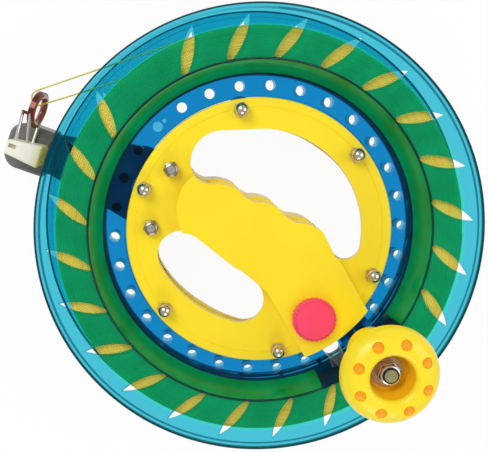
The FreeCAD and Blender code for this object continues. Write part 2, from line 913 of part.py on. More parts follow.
def arm_bolts():
    seat = arm_bolt_seat()
    tip = mid_z + plate_outer + lock_nut_height + bolt_end_over_nut / 2
    bolts = []
    for place in arm_bolt_places():
        head = cylinder(screw_head_radius, seat - screw_head_height, seat, place)
        bolts.append(head.fuse(cylinder(screw_radius, seat, tip, place)))
    return Part.makeCompound(bolts)


def arm_nuts():
    low = mid_z + plate_outer
    high = low + lock_nut_height
    nuts = [collared_nut(nut_flats, screw_radius, low, high, place, 25.0)
            for place in arm_bolt_places()]
    return Part.makeCompound(nuts)


def stud_places():
    first = block_x + stud_inset
    second = block_x + block_length - stud_inset
    return [Vector(first, block_shift, 0), Vector(second, block_shift, 0)]


def guide_leg_lines():
    """Centre lines of the guide's two legs and of its brace, foot first."""
    foot_y = block_shift - block_outer_width / 2 - guide_wire_radius + guide_leg_depth
    half = guide_leg_spread / 2
    reach = guide_ring_outside / 2 + guide_band_wall / 2
    lean = math.radians(guide_tilt)
    side_y = guide_leg_side * reach - guide_side
    out = guide_leg_reach * reach
    front_top = Vector(guide_x + out * math.sin(lean), side_y, mid_z + out * math.cos(lean))
    rear_top = Vector(guide_x - out * math.sin(lean), side_y, mid_z - out * math.cos(lean))
    front_foot = Vector(guide_leg_x, foot_y, mid_z + half)
    rear_foot = Vector(guide_leg_x, foot_y, mid_z - half)
    brace_foot = Vector(guide_brace_x, foot_y, mid_z + guide_brace_lift)
    brace_knee = Vector(guide_brace_x, side_y, mid_z + guide_brace_knee * out)
    return [(front_foot, front_top), (rear_foot, rear_top),
            (brace_foot, brace_knee), (brace_knee, front_top)]


def guide_block():
    """A pale block that tapers outwards, with a slot in its face and holes for the legs."""
    inner = block_inner_width / 2
    outer = block_outer_width / 2
    corners = [
        Vector(block_x, block_shift - inner, bracket_top),
        Vector(block_x + block_length, block_shift - outer, bracket_top),
        Vector(block_x + block_length, block_shift + outer, bracket_top),
        Vector(block_x, block_shift + inner, bracket_top),
    ]
    face = Part.Face(Part.makePolygon(corners + [corners[0]]))
    block = face.extrude(Vector(0, 0, block_height))
    block = block.makeChamfer(block_edge, block.Edges)
    top = bracket_top + block_height
    slot_end = block_x + block_length - block_slot_margin
    slot_start = slot_end - block_slot_length
    slot_floor = top - block_slot_depth
    slot_side = block_shift - block_slot_width
    block = block.cut(box(slot_start, slot_end, slot_side, block_shift, slot_floor, top + 1))
    for foot, head in guide_leg_lines()[:3]:
        block = block.cut(rod(foot, head, guide_wire_radius + FIT_GAP))
    for place in stud_places():
        block = block.cut(cylinder(stud_radius + FIT_GAP, bracket_top - 1, stud_top(), place))
    return turned_to(block, arm_angle)


def stud_top():
    return bracket_top + block_height - block_slot_depth - SIDE_GAP


def block_studs():
    """Two blind studs between the bracket and the block."""
    low = bracket_top - stud_depth + SIDE_GAP
    high = stud_top() - SIDE_GAP
    studs = [cylinder(stud_radius, low, high, place) for place in stud_places()]
    return turned_to(Part.makeCompound(studs), arm_angle)


def guide_placed(shape):
    """Stand a ring drawn round Z on the guide's centre, its axis along the arm."""
    copy = shape.copy()
    copy.rotate(Vector(0, 0, 0), Vector(0, 1, 0), 90 + guide_tilt)
    copy.translate(Vector(guide_x, -guide_side, mid_z))
    return turned_to(copy, arm_angle)


def guide_frame():
    """A steel band round the guide ring, on two legs and a brace of wire."""
    inner = guide_ring_outside / 2 + FIT_GAP
    outer = inner + guide_band_wall
    half = guide_ring_width / 2 - guide_band_inset
    band = guide_placed(tube(outer, inner, -half, half))
    wires = []
    for foot, head in guide_leg_lines():
        wires.append(rod(foot, head, guide_wire_radius))
        wires.append(Part.makeSphere(guide_wire_radius, head))
    legs = wires[0].fuse(wires[1:])
    legs = turned_to(legs, arm_angle)
    frame = band.fuse(legs)
    ring_room = guide_ring_width / 2 + FIT_GAP
    return frame.cut(guide_placed(cylinder(inner, -ring_room, ring_room)))


def guide_ring():
    """The smooth ring that the line runs through, rounded where the line bends."""
    outer = guide_ring_outside / 2
    inner = guide_ring_hole / 2
    half = guide_ring_width / 2
    edge = half - guide_ring_edge
    mouth = half - guide_ring_mouth
    crown = (outer + inner) / 2
    throat = inner + guide_ring_edge
    edges = [
        line(Vector(outer, 0, -edge), Vector(outer, 0, edge)),
        arc_xz((outer, edge), (crown, half), (throat, mouth)),
        arc_xz((throat, mouth), (inner, 0), (throat, -mouth)),
        arc_xz((throat, -mouth), (crown, -half), (outer, -edge)),
    ]
    ring = Part.Face(Part.Wire(edges)).revolve(Vector(0, 0, 0), AXIS, 360)
    return guide_placed(ring)


# Free line, from the winding over the guide ring, back through it and to the winding

free_line_route = [
    Vector(-31.95, 95.50, mid_z),
    Vector(-110.93, 68.98, mid_z),
    Vector(-112.16, 65.50, mid_z),
    Vector(-109.86, 61.82, mid_z),
    Vector(-67.20, 74.83, mid_z),
]


def rounded_route(points):
    """Straight runs joined by tangent arcs, each as large as its two runs allow."""
    edges = []
    start = points[0]
    length = 0.0
    for before, corner, after in zip(points, points[1:], points[2:]):
        back = before - corner
        ahead = after - corner
        half_turn = (math.pi - back.getAngle(ahead)) / 2
        cut = 0.45 * min(back.Length, ahead.Length)
        radius = cut / math.tan(half_turn)
        back.normalize()
        ahead.normalize()
        arc_start = corner + back * cut
        arc_end = corner + ahead * cut
        bisector = back + ahead
        bisector.normalize()
        depth = radius / math.cos(half_turn) - radius
        edges.append(line(start, arc_start))
        edges.append(arc(arc_start, corner + bisector * depth, arc_end))
        print("free line bend radius %.2f mm, turn %.0f degrees" % (radius, math.degrees(2 * half_turn)))
        start = arc_end
    edges.append(line(start, points[-1]))
    for edge in edges:
        length += edge.Length
    return Part.Wire(edges), length


def free_line():
    path, length = rounded_route(free_line_route)
    way = free_line_route[1] - free_line_route[0]
    section = Part.Wire(Part.Circle(free_line_route[0], way, line_diameter / 2).toShape())
    cord = path.makePipeShell([section], True, False)
    ideal = math.pi * (line_diameter / 2) ** 2 * length
    print("free line %.1f mm long, volume %.2f mm3 of %.2f mm3" % (length, cord.Volume, ideal))
    return cord


def export(name, shape):
    shape.exportStep("parts/" + name + ".step")
    print("%-22s %3d solid(s) %10.1f mm3  valid %s" % (
        name, len(shape.Solids), shape.Volume, shape.isValid()))


def main():
    os.makedirs("parts", exist_ok=True)
    nodes = {
        "front_hub_shell": front_hub_shell(),
        "rear_hub_shell": rear_hub_shell(),
        "hub_screws": hub_screws(),
        "acorn_nuts": acorn_nuts(),
        "bearing_inner_rings": bearing_inner_rings(),
        "bearing_balls": bearing_balls(),
        "bearing_spacers": bearing_spacers(),
        "guide_arm": guide_arm(),
        "arm_bolts": arm_bolts(),
        "arm_nuts": arm_nuts(),
        "guide_block": guide_block(),
        "block_studs": block_studs(),
        "guide_frame": guide_frame(),
        "guide_ring": guide_ring(),
        "free_line": free_line(),
        "front_wheel_shell": front_wheel_shell(),
        "rear_wheel_shell": rear_wheel_shell(),
        "line_core": line_core(),
        "line_turns": line_turns(),
        "knob_bolt": knob_bolt(),
        "knob_lock_nut": knob_lock_nut(),
        "knob_washer": knob_washer(),
        "knob_nut": knob_nut(),
        "winding_knob": winding_knob(),
        "lock_slider": lock_slider(),
        "lock_button": lock_button(),
        "lock_screw": lock_screw(),
    }
    for number, place in enumerate(bearing_places(), start=1):
        nodes["bearing_outer_ring_%d" % number] = bearing_outer_ring(place)
    for name, shape in nodes.items():
        export(name, shape)


main()
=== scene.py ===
"""The looks of a kite line winder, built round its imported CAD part.

Sizes in the classes are millimetres, in the part's own frame: the winder lies on its back and
+Z is the wheel's axis. Blender's objects are in metres, so the modelling steps convert.
"""

import logging
import math
from dataclasses import dataclass
from enum import Enum
from typing import Callable, Optional, Sequence

import bpy
from bpy.types import Material, Node, NodeSocket, Object
from mathutils import Matrix, Vector


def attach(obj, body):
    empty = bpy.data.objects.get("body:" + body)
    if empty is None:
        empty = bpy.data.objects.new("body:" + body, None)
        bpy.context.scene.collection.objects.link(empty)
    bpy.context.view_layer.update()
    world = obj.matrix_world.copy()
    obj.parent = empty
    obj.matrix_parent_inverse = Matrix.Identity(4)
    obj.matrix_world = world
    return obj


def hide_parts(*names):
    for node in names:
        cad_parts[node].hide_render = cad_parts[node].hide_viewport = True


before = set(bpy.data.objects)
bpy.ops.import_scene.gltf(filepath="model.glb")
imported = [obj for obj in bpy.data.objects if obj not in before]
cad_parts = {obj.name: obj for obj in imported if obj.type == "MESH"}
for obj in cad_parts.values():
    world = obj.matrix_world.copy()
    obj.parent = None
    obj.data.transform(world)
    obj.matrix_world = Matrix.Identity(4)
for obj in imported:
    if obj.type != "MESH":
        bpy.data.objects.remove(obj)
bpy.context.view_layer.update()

LOG = logging.getLogger("winder")
MM = 0.001
MID_Z = 29.0  # the wheel's middle plane
NEAR = 0.01  # heights this close count as the same
MERGE = 0.0008  # points this close are merged
SHARP = 25.0  # the least angle in degrees of an edge that is rounded
LOCK_ANGLE = 302.0
ARM_ANGLE = 160.5

Point = tuple[float, float]
Point3 = tuple[float, float, float]
Colour = tuple[float, float, float]


class Body(Enum):
    """The CAD bodies that a piece can ride on."""

    HUB = "hub"
    WHEEL = "wheel"
    KNOB = "knob"
    LOCK = "lock"


class Side(Enum):
    """Which way a wheel or hub shell faces from the wheel's middle plane."""

    FRONT = 1
    REAR = -1


class Zone(Enum):
    """The parts of a wheel shell that look different, by material number."""

    FLANGE = 0
    WEB = 1
    PAD = 2
    # OVER_LINE has a green skin of painted light: the lit line's colour seen through.
    OVER_LINE = 3
    # SLOPE is green with a painted reflection of the yellow line.
    SLOPE = 4
    # FOOT is a navy painted shadow at the foot of the dish's slope.
    FOOT = 5
    # LINE_EDGE is painted shade: dark lines along the rim and the dish's top edge.
    LINE_EDGE = 6


# Plane geometry


def polar(radius: float, degrees: float) -> Point:
    """The point at that radius and angle round the wheel's axis."""
    angle = math.radians(degrees)
    return radius * math.cos(angle), radius * math.sin(angle)


KNOB_PLACE = polar(79.5, 313.4)


def turned(points: Sequence[Point], degrees: float) -> list[Point]:
    """The points turned about the wheel's axis."""
    cos, sin = polar(1.0, degrees)
    return [(x * cos - y * sin, x * sin + y * cos) for x, y in points]


def arc_through(start: Point, middle: Point, end: Point, steps: int = 10) -> list[Point]:
    """Points on the arc through three points, without its last one.

    Args:
        start: The arc's first point.
        middle: Any point between its ends.
        end: The arc's last point, which the next stretch begins with.
        steps: How many points to give.

    Returns:
        The points, in order.
    """
    (ax, ay), (bx, by), (cx, cy) = start, middle, end
    twice_area = 2 * (ax * (by - cy) + bx * (cy - ay) + cx * (ay - by))
    a, b, c = ax * ax + ay * ay, bx * bx + by * by, cx * cx + cy * cy
    ux = (a * (by - cy) + b * (cy - ay) + c * (ay - by)) / twice_area
    uy = (a * (cx - bx) + b * (ax - cx) + c * (bx - ax)) / twice_area
    radius = math.hypot(ax - ux, ay - uy)
    first = math.atan2(ay - uy, ax - ux)
    turn = (math.atan2(cy - uy, cx - ux) - first) % math.tau
    if (math.atan2(by - uy, bx - ux) - first) % math.tau > turn:
        turn -= math.tau
    angles = [first + turn * k / steps for k in range(steps)]
    return [(ux + radius * math.cos(t), uy + radius * math.sin(t)) for t in angles]


def circle_points(radius: float, centre: Point = (0.0, 0.0), count: int = 48) -> list[Point]:
    """Evenly spaced points on a circle."""
    spots = [polar(radius, 360.0 * k / count) for k in range(count)]
    return [(centre[0] + x, centre[1] + y) for x, y in spots]


# Shader writing


class Value:
    """A shader socket that can stand in a Python expression on numbers."""

    def __init__(self, shader: "Shader", socket: NodeSocket) -> None:
        """Wrap one output socket of a node in the shader."""
        self.shader = shader
        self.socket = socket

    def _math(self, operation: str, *values: "Value | float") -> "Value":
        """What a Math node makes of the values."""
        return self.shader.value("Math", dict(enumerate(values)), operation=operation)

    def __add__(self, other: "Value | float") -> "Value":
        """The sum."""
        return self._math("ADD", self, other)

    def __sub__(self, other: "Value | float") -> "Value":
        """The difference."""
        return self._math("SUBTRACT", self, other)

    def __rsub__(self, other: float) -> "Value":
        """The difference, the other way round."""
        return self._math("SUBTRACT", other, self)

    def __mul__(self, other: "Value | float") -> "Value":
        """The product."""
        return self._math("MULTIPLY", self, other)

    __radd__, __rmul__ = __add__, __mul__

    def __pow__(self, other: float) -> "Value":
        """The power."""
        return self._math("POWER", self, other)

    def __gt__(self, other: "Value | float") -> "Value":
        """1 where this value is greater, and 0 elsewhere."""
        return self._math("GREATER_THAN", self, other)

    def angle_from(self, other: "Value") -> "Value":
        """The angle of the point whose y is this value and whose x is the other."""
        return self._math("ARCTAN2", self, other)

    def sine(self) -> "Value":
        """The sine."""
        return self._math("SINE", self)

    def clamped(self) -> "Value":
        """This value, kept between 0 and 1."""
        return self.shader.value("Clamp", {"Value": self})


class Shader:
    """One material's node tree, and short ways to write it."""

    def __init__(self, name: str) -> None:
        """Start an empty node material of that name."""
        self.material = bpy.data.materials.new(name)
        self.material.use_nodes = True
        self.tree = self.material.node_tree
        self.tree.nodes.clear()

    def add(self, kind: str, inputs: Optional[dict] = None, **settings: object) -> Node:
        """Add one node, its own settings first and then its sockets.

        Args:
            kind: The node's type, without its first words.
            inputs: The values or links of its sockets, by name or number.
            settings: The node's own settings.

        Returns:
            The node.
        """
        node = self.tree.nodes.new("ShaderNode" + kind)
        for key, value in settings.items():
            setattr(node, key, value)
        for key, value in (inputs or {}).items():
            socket = node.inputs[key]
            if isinstance(value, Value):
                value = value.socket
            if isinstance(value, NodeSocket):
                self.tree.links.new(value, socket)
            else:
                socket.default_value = (*value, 1.0) if socket.type == "RGBA" else value
        return node

    def value(self, kind: str, inputs: Optional[dict] = None, output: str | int = 0,
              **settings: object) -> Value:
        """Add one node and give one of its outputs for an expression."""
        return Value(self, self.add(kind, inputs, **settings).outputs[output])

    def place(self) -> NodeSocket:
        """The point's place on the object."""
        return self.add("TexCoord").outputs["Object"]

    def axes(self) -> list[Value]:
        """The point's x, y and z on the object, in metres."""
        split = self.add("SeparateXYZ", {0: self.place()})
        return [Value(self, output) for output in split.outputs]

    def polar_place(self) -> tuple[Value, Value, Value]:
        """The point's angle round the wheel's axis, its radius and its height, in metres."""
        x, y, z = self.axes()
        return y.angle_from(x), (x * x + y * y) ** 0.5, z

    def noise(self, scale: float, detail: float = 3.0, roughness: float = 0.5) -> Value:
        """Noise from 0 to 1 on the object's own coordinates, its scale in repeats per metre."""
        return self.value("TexNoise", {"Vector": self.place(), "Scale": scale, "Detail": detail,
                                       "Roughness": roughness}, "Fac")

    def blend(self, mask: Value, low: Colour, high: Colour) -> NodeSocket:
        """A colour between two, chosen by a mask."""
        return self.add("Mix", {0: mask, 6: low, 7: high}, data_type="RGBA").outputs[2]

    def bump(self, height: Value, depth: float, strength: float = 1.0) -> NodeSocket:
        """A normal from a height map, whose 1 is worth the depth in millimetres."""
        return self.add("Bump", {"Height": height, "Distance": depth * MM,
                                 "Strength": strength}).outputs["Normal"]

    def skin(self, inputs: dict) -> NodeSocket:
        """A Principled shader with those inputs."""
        return self.add("BsdfPrincipled", inputs).outputs[0]

    def mix(self, share: Value, first: NodeSocket, second: NodeSocket) -> NodeSocket:
        """Two shaders mixed, by the share of the second."""
        return self.add("MixShader", {0: share, 1: first, 2: second}).outputs[0]


# Finishes


@dataclass(frozen=True)
class Finish:
    """A finish in two colours. Each kind writes its own surface."""

    name: str
    colour: Colour
    shade: Colour

    def surface(self, s: Shader) -> NodeSocket:
        """The surface's shader, written into the tree of s."""
        raise NotImplementedError

    def make(self) -> Material:
        """Write the material.

        Returns:
            The material, with its surface connected.
        """
        s = Shader(self.name)
        s.add("OutputMaterial", {"Surface": self.surface(s)})
        return s.material


@dataclass(frozen=True)
class MouldedPlastic(Finish):
    """Opaque moulded plastic with a fine skin and slight shade changes."""

    roughness: float = 0.32
    grain: float = 0.006
    soft: float = 0.0

    def surface(self, s: Shader) -> NodeSocket:
        """The skin, its colour and gloss wandering a little."""
        broad, fine, marks = s.noise(28.0, 2.0), s.noise(2600.0, 2.0), s.noise(420.0, 4.0, 0.65)
        return s.skin({
            "Base Color": s.blend(((broad - 0.35) * 2.2).clamped(), self.shade, self.colour),
            "Roughness": (marks - 0.5) * 0.16 + self.roughness,
            "Normal": s.bump(fine * 0.6 + marks * 0.4, self.grain),
            "IOR": 1.48,
            "Subsurface Weight": self.soft,
            "Subsurface Scale": 2.0 * MM,
        })


@dataclass(frozen=True)
class ClearPlastic(Finish):
    """Tinted plastic that is seen through, with a glossy skin and turning marks."""

    tint: Colour
    share: float

    def surface(self, s: Shader) -> NodeSocket:
        """The clear tint under a share of skin, which grows where it is seen edge on."""
        _, radius, _ = s.polar_place()
        swirl = (radius * 5200.0 + s.noise(60.0, 2.0) * 5.0).sine()
        cloud = s.noise(70.0, 3.0)
        skin = s.skin({
            "Base Color": s.blend(((cloud - 0.35) * 3.0).clamped(), self.shade, self.colour),
            "Roughness": (swirl * 0.03 + s.noise(500.0, 4.0) * 0.10 + 0.04).clamped(),
            "Normal": s.bump(swirl * 0.5 + 0.5, 0.004, 0.5),
            "IOR": 1.5,
        })
        clear = s.add("BsdfTransparent", {"Color": self.tint}).outputs[0]
        edge = s.value("Fresnel", {"IOR": 1.45})
        return s.mix((edge * 0.7 + cloud * 0.04 + (self.share - 0.02)).clamped(), clear, skin)


@dataclass(frozen=True)
class WoundLine(Finish):
    """Twisted line lying in turns, bright on its crowns, with painted shade between them."""

    def surface(self, s: Shader) -> NodeSocket:
        """The line's twist, running round the wheel."""
        angle, radius, z = s.polar_place()
        twist = (angle * 520.0 + radius * 5600.0 + z * 5200.0).sine() * 0.5 + 0.5
        patch, fibre = s.noise(95.0, 3.0), s.noise(1800.0, 3.0, 0.7)
        # The twist's stripes are painted shade between the strands; the noise patches are the
        # line's own uneven colour.
        mask = (twist * 0.75 + patch * 0.35 + fibre * 0.25 - 0.17).clamped()
        return s.skin({
            "Base Color": s.blend(mask, self.shade, self.colour),
            "Roughness": 0.52 + fibre * 0.2,
            "Normal": s.bump(twist * 0.7 + fibre * 0.3, 0.06),
            "Sheen Weight": 0.15,
        })


@dataclass(frozen=True)
class FreeLineFinish(Finish):
    """The same line where it runs free, with painted shade between its strands."""

    def surface(self, s: Shader) -> NodeSocket:
        """The line's twist, following its run."""
        x, y, z = s.axes()
        twist = (x * 3900.0 + y * 1300.0 + z * 3400.0).sine() * 0.5 + 0.5
        fibre = s.noise(2400.0, 3.0, 0.7)
        # The twist's stripes are painted shade between the line's strands.
        return s.skin({
            "Base Color": s.blend((twist * 0.6 + fibre * 0.4).clamped(), self.shade, self.colour),
            "Roughness": 0.5 + fibre * 0.2,
            "Normal": s.bump(twist * 0.8 + fibre * 0.2, 0.05),
        })


@dataclass(frozen=True)
class PlatedMetal(Finish):
    """Plated or ground steel with fine handling marks."""

    roughness: float

    def surface(self, s: Shader) -> NodeSocket:
        """The plating, stained in places and finely scratched."""
        stain, scratch = s.noise(380.0, 3.0, 0.6), s.noise(2800.0, 4.0, 0.7)
        return s.skin({
            "Base Color": s.blend(((stain - 0.3) * 1.8).clamped(), self.shade, self.colour),
            "Metallic": 1.0,
            "Roughness": (scratch - 0.5) * 0.14 + stain * 0.06 + self.roughness,
            "Normal": s.bump(scratch, 0.004),
        })


# The second colour is yellower and is laid on towards the wheel.
@dataclass(frozen=True)
class WheelwardTintPlastic(Finish):
    """Pale plastic that changes to its second colour towards the wheel."""

    roughness: float
    turn_x: float = 116.0
    soft_x: float = 2.2

    def surface(self, s: Shader) -> NodeSocket:
        """The two colours, divided across the guide's arm."""
        x, y, _ = s.axes()
        cos, sin = polar(1.0, ARM_ANGLE)
        out = x * cos + y * sin
        near = ((self.turn_x + self.soft_x) * MM - out) * (1 / (2 * self.soft_x * MM))
        grain = s.noise(700.0, 3.0)
        return s.skin({
            "Base Color": s.blend((near + (grain - 0.5) * 0.3).clamped(), self.colour, self.shade),
            "Roughness": grain * 0.15 + (self.roughness - 0.07),
            "Normal": s.bump(grain, 0.008),
        })


@dataclass(frozen=True)
class GuideSteel(Finish):
    """Polished wire that turns to a dark red band where it holds the guide ring."""

    ring_centre: Point3
    reach: float

    def surface(self, s: Shader) -> NodeSocket:
        """The wire beyond the reach of the ring, and the band within it."""
        away = s.value("VectorMath", {0: s.place(), 1: Vector(self.ring_centre) * MM}, "Value",
                       operation="DISTANCE")
        wire, mark = away > self.reach * MM, s.noise(1800.0, 4.0, 0.6)
        return s.skin({
            "Base Color": s.blend(wire, self.shade, self.colour),
            "Metallic": wire * 0.6 + 0.4,
            "Roughness": mark * 0.10 + 0.08,
            "Normal": s.bump(mark, 0.003),
        })


@dataclass(frozen=True)
class GlazedCeramic(Finish):
    """A hard polished ring, streaked under its glaze."""

    def surface(self, s: Shader) -> NodeSocket:
        """The streaks, with a clear coat."""
        vein, haze = s.noise(420.0, 4.0, 0.6), s.noise(1500.0, 2.0)
        return s.skin({
            "Base Color": s.blend(((vein - 0.4) * 3.0).clamped(), self.colour, self.shade),
            "Roughness": 0.12 + haze * 0.12,
            "Normal": s.bump(haze, 0.003),
            "Coat Weight": 0.8,
            "Coat Roughness": 0.05,
        })


@dataclass(frozen=True)
class PaleFloor(Finish):
    """A pale floor that shows near white to the camera and keeps the winder's shadow."""

    glow: float = 0.94

    def surface(self, s: Shader) -> NodeSocket:
        """Paper that glows to the rays that the camera sees it by."""
        path = s.add("LightPath").outputs
        camera, glossy, through = (Value(s, path[name]) for name in (
            "Is Camera Ray", "Is Glossy Ray", "Is Transmission Ray"))
        paper = s.add("BsdfDiffuse", {"Color": self.colour}).outputs[0]
        white = s.add("Emission", {"Color": self.shade}).outputs[0]
        return s.mix((camera + glossy + through).clamped() * self.glow, paper, white)


PALETTE: dict[str, Finish] = {
    "yellow": MouldedPlastic("yellow_plastic", (0.99, 0.765, 0.012), (0.955, 0.71, 0.010),
                             0.34, 0.006, 0.05),
    "knob": MouldedPlastic("knob_yellow", (0.99, 0.80, 0.018), (0.97, 0.74, 0.014),
                           0.30, 0.004, 0.05),
    # Orange painted shade for the hollows of the knob's dimples.
    "dimple": MouldedPlastic("dimple_painted_shade", (0.98, 0.50, 0.008), (0.96, 0.42, 0.006), 0.40),
    # Deeper orange painted shade for the knob's recess round its nut.
    "recess": MouldedPlastic("recess_painted_shade", (0.98, 0.56, 0.008), (0.90, 0.47, 0.006), 0.38),
    "pink": MouldedPlastic("pink_plastic", (1.0, 0.068, 0.175), (0.96, 0.055, 0.14), 0.36),
    "black": MouldedPlastic("black_plastic", (0.19, 0.187, 0.183), (0.12, 0.118, 0.118),
                            0.40, 0.02),
    "nylon": MouldedPlastic("black_nylon", (0.022, 0.022, 0.024), (0.014, 0.014, 0.016), 0.45),
    "cream": WheelwardTintPlastic("cream_plastic", (0.86, 0.84, 0.72), (0.74, 0.70, 0.30), 0.40),
    "flange": ClearPlastic("clear_flange", (0.01, 0.40, 0.56), (0.008, 0.33, 0.56),
                           (0.28, 0.78, 0.87), 0.06),
    # Painted light: a green skin adding the lit yellow line's colour seen through the flange.
    "over_line": ClearPlastic("clear_over_line_painted_light", (0.0, 0.55, 0.25), (0.0, 0.46, 0.20),
                              (0.29, 0.94, 0.97), 0.26),
    "web": ClearPlastic("clear_web", (0.01, 0.21, 0.50), (0.008, 0.15, 0.40),
                        (0.31, 0.78, 0.955), 0.10),
    "pad": ClearPlastic("clear_pad", (0.004, 0.035, 0.09), (0.003, 0.02, 0.06),
                        (0.16, 0.34, 0.52), 0.24),
    # Green painted reflection of the yellow line, on the dish's slope.
    "slope": ClearPlastic("clear_slope_painted_reflection", (0.0, 0.52, 0.15), (0.008, 0.40, 0.07),
                          (0.17, 0.80, 0.58), 0.56),
    # Navy painted shadow for the foot of the dish's slope.
    "foot": ClearPlastic("clear_foot_painted_shadow", (0.003, 0.06, 0.10), (0.002, 0.03, 0.08),
                         (0.12, 0.34, 0.44), 0.40),
    # Painted shade: dark lines along the rim's edge and the dish's top edge.
    "line_edge": ClearPlastic("clear_painted_dark_edge", (0.002, 0.07, 0.08), (0.002, 0.05, 0.07),
                              (0.14, 0.44, 0.44), 0.40),
    "wound": WoundLine("wound_line_painted_shade", (1.0, 0.92, 0.16), (0.66, 0.42, 0.025)),
    "free": FreeLineFinish("free_line_painted_shade", (0.95, 0.86, 0.16), (0.72, 0.55, 0.05)),
    "nickel": PlatedMetal("nickel_plate", (0.84, 0.77, 0.70), (0.66, 0.57, 0.49), 0.07),
    "zinc": PlatedMetal("zinc_plate", (0.82, 0.80, 0.76), (0.62, 0.58, 0.52), 0.16),
    "bronze": PlatedMetal("dark_nut", (0.46, 0.41, 0.33), (0.26, 0.22, 0.16), 0.20),
    "bolt_end": PlatedMetal("bolt_zinc", (0.60, 0.56, 0.30), (0.44, 0.40, 0.18), 0.30),
    "bearing": PlatedMetal("bearing_steel", (0.60, 0.61, 0.63), (0.48, 0.49, 0.50), 0.18),
    "brass": PlatedMetal("brass_washer", (0.70, 0.46, 0.24), (0.50, 0.28, 0.12), 0.12),
    "guide": GuideSteel("guide_steel", (0.80, 0.78, 0.75), (0.12, 0.02, 0.012),
                        (-108.95, 60.22, 29.0), 9.5),
    "ceramic": GlazedCeramic("guide_ceramic", (0.20, 0.022, 0.012), (0.42, 0.085, 0.04)),
}


class Finishes:
    """Makes each finish once and hands it out."""

    def __init__(self, palette: dict[str, Finish]) -> None:
        """Take the palette and start with nothing made."""
        self.palette = palette
        self._made: dict[str, Material] = {}

    def __getitem__(self, name: str) -> Material:
        """The material of one finish in the palette."""
        if name not in self._made:
            self._made[name] = self.palette[name].make()
        return self._made[name]


# Modelling steps, with lengths in millimetres where nothing else is said


def done() -> None:
    """Go back to object mode."""
    bpy.ops.object.mode_set(mode="OBJECT")


def deselect() -> None:
    """Leave edit mode and deselect everything."""
    if bpy.context.object is not None and bpy.context.object.mode != "OBJECT":
        done()
    bpy.ops.object.select_all(action="DESELECT")


def hold(piece: Object) -> None:
    """Make a piece the only selected one."""
    deselect()
    piece.select_set(True)
    bpy.context.view_layer.objects.active = piece


def edit(piece: Object, kind: str = "VERT", action: str = "SELECT") -> None:
    """Open a piece in edit mode, with everything selected or nothing."""
    hold(piece)
    bpy.ops.object.mode_set(mode="EDIT")
    bpy.ops.mesh.select_mode(type=kind)
    bpy.ops.mesh.select_all(action=action)


def edit_faces(piece: Object, height: float) -> None:
    """Open a piece in edit mode with only its faces at one height selected."""
    edit(piece, "FACE", "DESELECT")
    done()
    for face in piece.data.polygons:
        face.select = abs(face.center.z / MM - height) < NEAR
    bpy.ops.object.mode_set(mode="EDIT")


def extrude(offset: Sequence[float]) -> None:
    """Extrude what is selected by an offset in metres."""
    bpy.ops.mesh.extrude_region_move(TRANSFORM_OT_translate={"value": offset})


def named(piece: Object, name: str) -> Object:
    """Name a piece and its mesh."""
    piece.name = name
    piece.data.name = name
    return piece


def linked(name: str, data: bpy.types.ID) -> Object:
    """A new object with that data, in the scene."""
    thing = bpy.data.objects.new(name, data)
    bpy.context.scene.collection.objects.link(thing)
    return thing


def move(piece: Object, place: Point) -> None:
    """Move a piece's mesh across the plane."""
    piece.data.transform(Matrix.Translation((place[0] * MM, place[1] * MM, 0.0)))


def merged(piece: Object) -> Object:
    """Merge a piece's doubles and turn all its faces outwards."""
    edit(piece)
    bpy.ops.mesh.remove_doubles(threshold=MERGE * MM)
    bpy.ops.mesh.normals_make_consistent(inside=False)
    done()
    return piece


def outline(name: str, corners: Sequence[Point3], fill: str = "NGON") -> Object:
    """A flat closed outline through the corners, as one face or as a bare line."""
    deselect()
    bpy.ops.mesh.primitive_circle_add(vertices=len(corners), radius=1.0, fill_type=fill,
                                      location=(0, 0, 0))
    piece = named(bpy.context.object, name)
    for vertex, corner in zip(piece.data.vertices, corners):
        vertex.co = Vector(corner) * MM
    return piece


def prism(name: str, points: Sequence[Point], low: float, high: float,
          grow: float = 0.0) -> Object:
    """A closed outline, extruded from one height to another.

    Args:
        name: The piece's name.
        points: The outline's corners.
        low: Its lower height.
        high: Its upper height.
        grow: How far the outline is first pushed outwards.

    Returns:
        The piece.
    """
    piece = outline(name, [(x, y, low) for x, y in points])
    edit(piece)
    if grow:
        bpy.ops.mesh.inset(thickness=grow * MM, use_outset=True)
        bpy.ops.mesh.select_all(action="SELECT")
    extrude((0, 0, (high - low) * MM))
    done()
    return merged(piece)


def lathe(name: str, profile: Sequence[Point], steps: int = 96) -> Object:
    """A closed profile of (radius, z) spun a full turn."""
    piece = outline(name, [(radius, 0.0, z) for radius, z in profile], "NOTHING")
    edit(piece)
    bpy.ops.mesh.spin(steps=steps, angle=math.tau, center=(0, 0, 0), axis=(0, 0, 1))
    done()
    return merged(piece)


def modify(piece: Object, kind: str, **settings: object) -> None:
    """Add one modifier, set it and apply it."""
    hold(piece)
    modifier = piece.modifiers.new(kind.lower(), kind)
    for key, value in settings.items():
        setattr(modifier, key, value)
    bpy.ops.object.modifier_apply(modifier=modifier.name)


def combine(piece: Object, other: Object, operation: str = "DIFFERENCE") -> None:
    """Cut a piece with another or join them. The other one is used up."""
    modify(piece, "BOOLEAN", object=other, operation=operation, solver="EXACT")
    bpy.data.objects.remove(other, do_unlink=True)


def join(pieces: Sequence[Object], name: str) -> Object:
    """Put several pieces into one object."""
    deselect()
    for piece in pieces:
        piece.select_set(True)
    bpy.context.view_layer.objects.active = pieces[0]
    if len(pieces) > 1:
        bpy.ops.object.join()
    return named(pieces[0], name)


def copies(piece: Object, places: Sequence[Point], name: str) -> Object:
    """Copy a piece to each place and join the copies. The piece is used up."""
    made = []
    for place in places:
        copy = linked(name, piece.data.copy())
        move(copy, place)
        made.append(copy)
    bpy.data.objects.remove(piece, do_unlink=True)
    return join(made, name)


